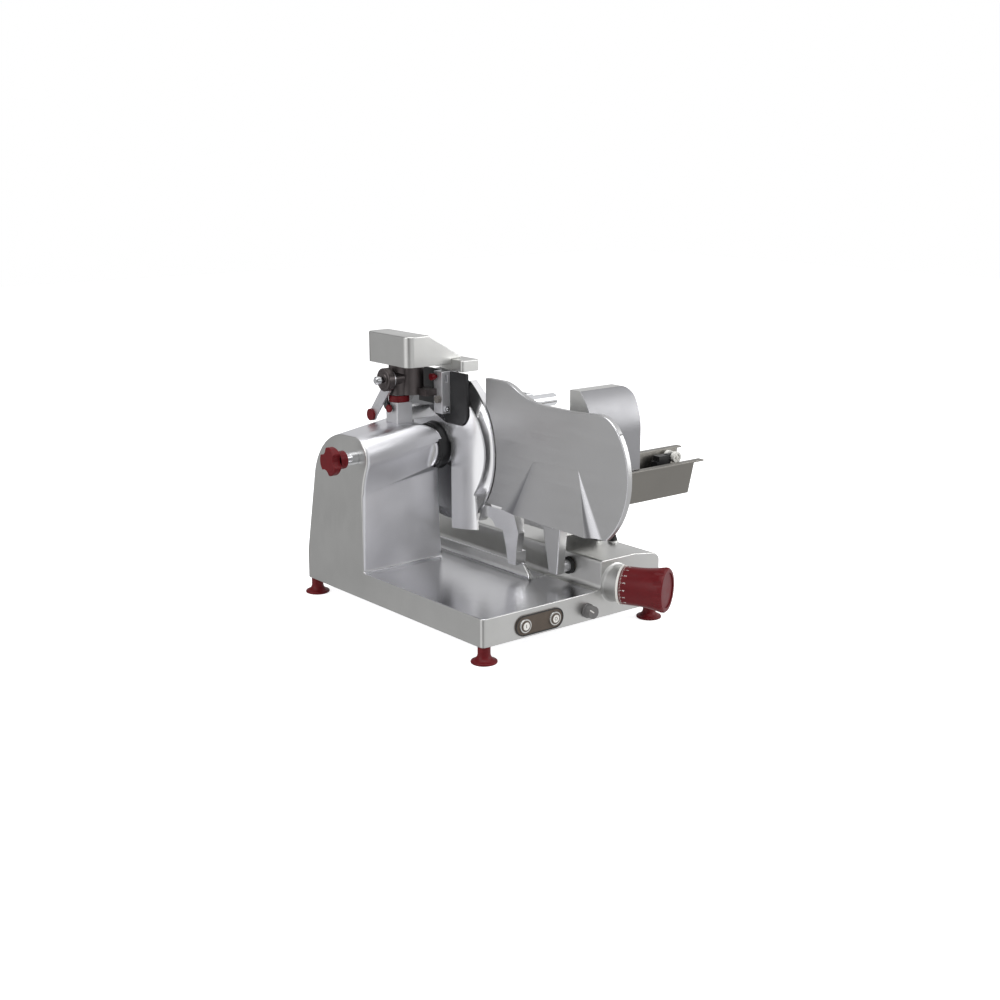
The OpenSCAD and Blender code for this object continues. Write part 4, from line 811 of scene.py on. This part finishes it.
def build_fasteners():
    """Screws and nuts, in one piece for each body that carries them."""
    base, bed, head = bmesh.new(), bmesh.new(), bmesh.new()
    for place in COVER_SCREWS:
        socket_screw(base, place, DOWN, *COVER_SCREW)
    hex_nut(base, LEG_NUT, RIGHT, *NUT)
    for place in BED_SCREWS:
        socket_screw(bed, place, UP, *BED_SCREW)
    hex_nut(head, BRACKET_NUT, FRONT, *NUT)
    piece_from(base, "base_screws", "machine_steel", "base")
    piece_from(bed, "bed_screws", "bright_chrome", "carriage")
    piece_from(head, "bracket_screws", "bright_chrome", "head")


def build_apron():
    """Lower edge of the sharpener cover, which falls towards the wheel cap."""
    shape = bmesh.new()
    front = [shape.verts.new(at(x, APRON_FRONT, z)) for x, z in APRON]
    back = [shape.verts.new(at(x, APRON_BACK, z)) for x, z in APRON]
    shape.faces.new(front)
    shape.faces.new(back[::-1])
    join_rows(shape, front, back)
    piece_from(shape, "cover_apron", "satin_casting", "head")


def build_turned(name, slot, body, profile, place, axis, count):
    """Piece of one turned solid."""
    shape = bmesh.new()
    turned(shape, profile, place, axis, count)
    piece_from(shape, name, slot, body)


# Making of the pieces

for name, node in NODES.items():
    node.data.materials.clear()
    node.data.materials.append(MATERIALS[SLOT_OF[name]])
    smooth(node.data, CAD_ANGLE)
for name, how in ROUNDED.items():
    softened(name, **how)
build_gauge_pad()
build_turned("hub_ring", "black_plastic", "base", HUB_RING, (HUB_RING_X, HUB[1], HUB[2]), RIGHT, 64)
build_apron()
build_scale()
build_panel_rim()
build_button_marks()
build_selector_mark()
build_fasteners()
build_turned("clamp_tip", "burgundy_plastic", "catch", CLAMP_TIP, CLAMP_TIP_PLACE, LEFT, 32)
build_turned("disc_rings", "dark_casting", "head", DISC_RINGS, DISC_PLACE, LEFT, 64)


# Stage

FLOOR_SIZE = 14
FLOOR_COLOUR = (0.86, 0.86, 0.86, 1)
FLOOR_GLOW = 0.72
WHITE = (1, 1, 1, 1)
# Light of the studio by its direction, in degrees from the front towards the right
STUDIO = (
    (-180, 0.2), (-165, 0.28), (-141, 0.55), (-125, 1.0), (-112, 1.25), (-85, 1.1), (-68, 0.95), (-60, 0.28),
    (-46, 0.22), (-38, 0.55), (-18, 0.9), (39, 0.93), (90, 1.05), (141, 0.9), (165, 0.45), (180, 0.2),
)
STUDIO_STRENGTH = 0.8
STUDIO_BLUE = 1.01
# Name, place, target, size and watts of each softbox, in metres
SOFTBOXES = (
    ("overhead", (-0.2, -0.3, 2.4), (0, 0, 0.2), (1.8, 1.8), 26),
    ("front_right", (1.7, -1.5, 1.1), (0, 0, 0.25), (1.0, 1.4), 16),
    ("left", (-2.0, 0.2, 1.3), (0, 0, 0.25), (0.8, 1.4), 9),
)
CAMERA_PLACE = (-1499.1, -1890.5, 882.4)
CAMERA_DOWN = 13.65
CAMERA_TURN = 39.12
CAMERA_LENS = 53.07
CAMERA_SENSOR = 36


def build_floor():
    """Pale floor that the camera sees as white, with the object's shadow on it."""
    bpy.ops.mesh.primitive_plane_add(size=FLOOR_SIZE, location=(0, 0, 0))
    floor = bpy.context.object
    floor.name = "floor"
    material, tree, shader = new_material("floor")
    shader.inputs["Base Color"].default_value = FLOOR_COLOUR
    shader.inputs["Roughness"].default_value = 1.0
    shader.inputs["Specular IOR Level"].default_value = 0.0
    shader.inputs["Emission Color"].default_value = WHITE
    path = tree.nodes.new("ShaderNodeLightPath")
    glow = node_of(tree, "ShaderNodeMath", operation="MULTIPLY")
    glow.inputs[1].default_value = FLOOR_GLOW
    tree.links.new(path.outputs["Is Camera Ray"], glow.inputs[0])
    tree.links.new(glow.outputs["Value"], shader.inputs["Emission Strength"])
    floor.data.materials.append(material)
    floor.visible_glossy = False


def build_world():
    """White behind the object, and a soft studio with brighter and darker sides."""
    world = bpy.data.worlds.new("studio")
    bpy.context.scene.world = world
    world.use_nodes = True
    tree = world.node_tree
    tree.nodes.clear()
    out = tree.nodes.new("ShaderNodeOutputWorld")
    where = tree.nodes.new("ShaderNodeTexCoord")
    parts = tree.nodes.new("ShaderNodeSeparateXYZ")
    tree.links.new(where.outputs["Generated"], parts.inputs["Vector"])
    front = node_of(tree, "ShaderNodeMath", operation="MULTIPLY")
    front.inputs[1].default_value = -1.0
    tree.links.new(parts.outputs["Y"], front.inputs[0])
    turn = combined(tree, "ARCTAN2", parts.outputs["X"], front.outputs["Value"])
    ramp = tree.nodes.new("ShaderNodeValToRGB")
    while len(ramp.color_ramp.elements) < len(STUDIO):
        ramp.color_ramp.elements.new(0.5)
    for element, (angle, level) in zip(ramp.color_ramp.elements, STUDIO):
        element.position = (angle + 180) / 360
        element.color = (level, level, level * STUDIO_BLUE, 1)
    tree.links.new(remapped(tree, turn, (-pi, pi)), ramp.inputs["Fac"])
    studio = node_of(tree, "ShaderNodeBackground", Strength=STUDIO_STRENGTH)
    tree.links.new(ramp.outputs["Color"], studio.inputs["Color"])
    white = node_of(tree, "ShaderNodeBackground", Color=WHITE, Strength=1.0)
    path = tree.nodes.new("ShaderNodeLightPath")
    mix = tree.nodes.new("ShaderNodeMixShader")
    tree.links.new(path.outputs["Is Camera Ray"], mix.inputs["Fac"])
    tree.links.new(studio.outputs["Background"], mix.inputs[1])
    tree.links.new(white.outputs["Background"], mix.inputs[2])
    tree.links.new(mix.outputs["Shader"], out.inputs["Surface"])


def add_softbox(name, place, target, size, watts):
    """Rectangular lamp that looks at its target."""
    light = bpy.data.lights.new(name, "AREA")
    light.shape = "RECTANGLE"
    light.size, light.size_y = size
    light.energy = watts
    lamp = new_object(name, light)
    lamp.location = place
    lamp.rotation_euler = (Vector(target) - Vector(place)).to_track_quat("-Z", "Y").to_euler()


def build_camera():
    """Camera fitted to the photo."""
    data = bpy.data.cameras.new("camera")
    data.sensor_fit = "HORIZONTAL"
    data.sensor_width = CAMERA_SENSOR
    data.lens = CAMERA_LENS
    camera = new_object("camera", data)
    camera.location = at(*CAMERA_PLACE)
    camera.rotation_euler = (radians(90 - CAMERA_DOWN), 0, radians(-CAMERA_TURN))
    bpy.context.scene.camera = camera


build_camera()
build_floor()
build_world()
for softbox in SOFTBOXES:
    add_softbox(*softbox)
bpy.context.scene.view_settings.view_transform = "Standard"
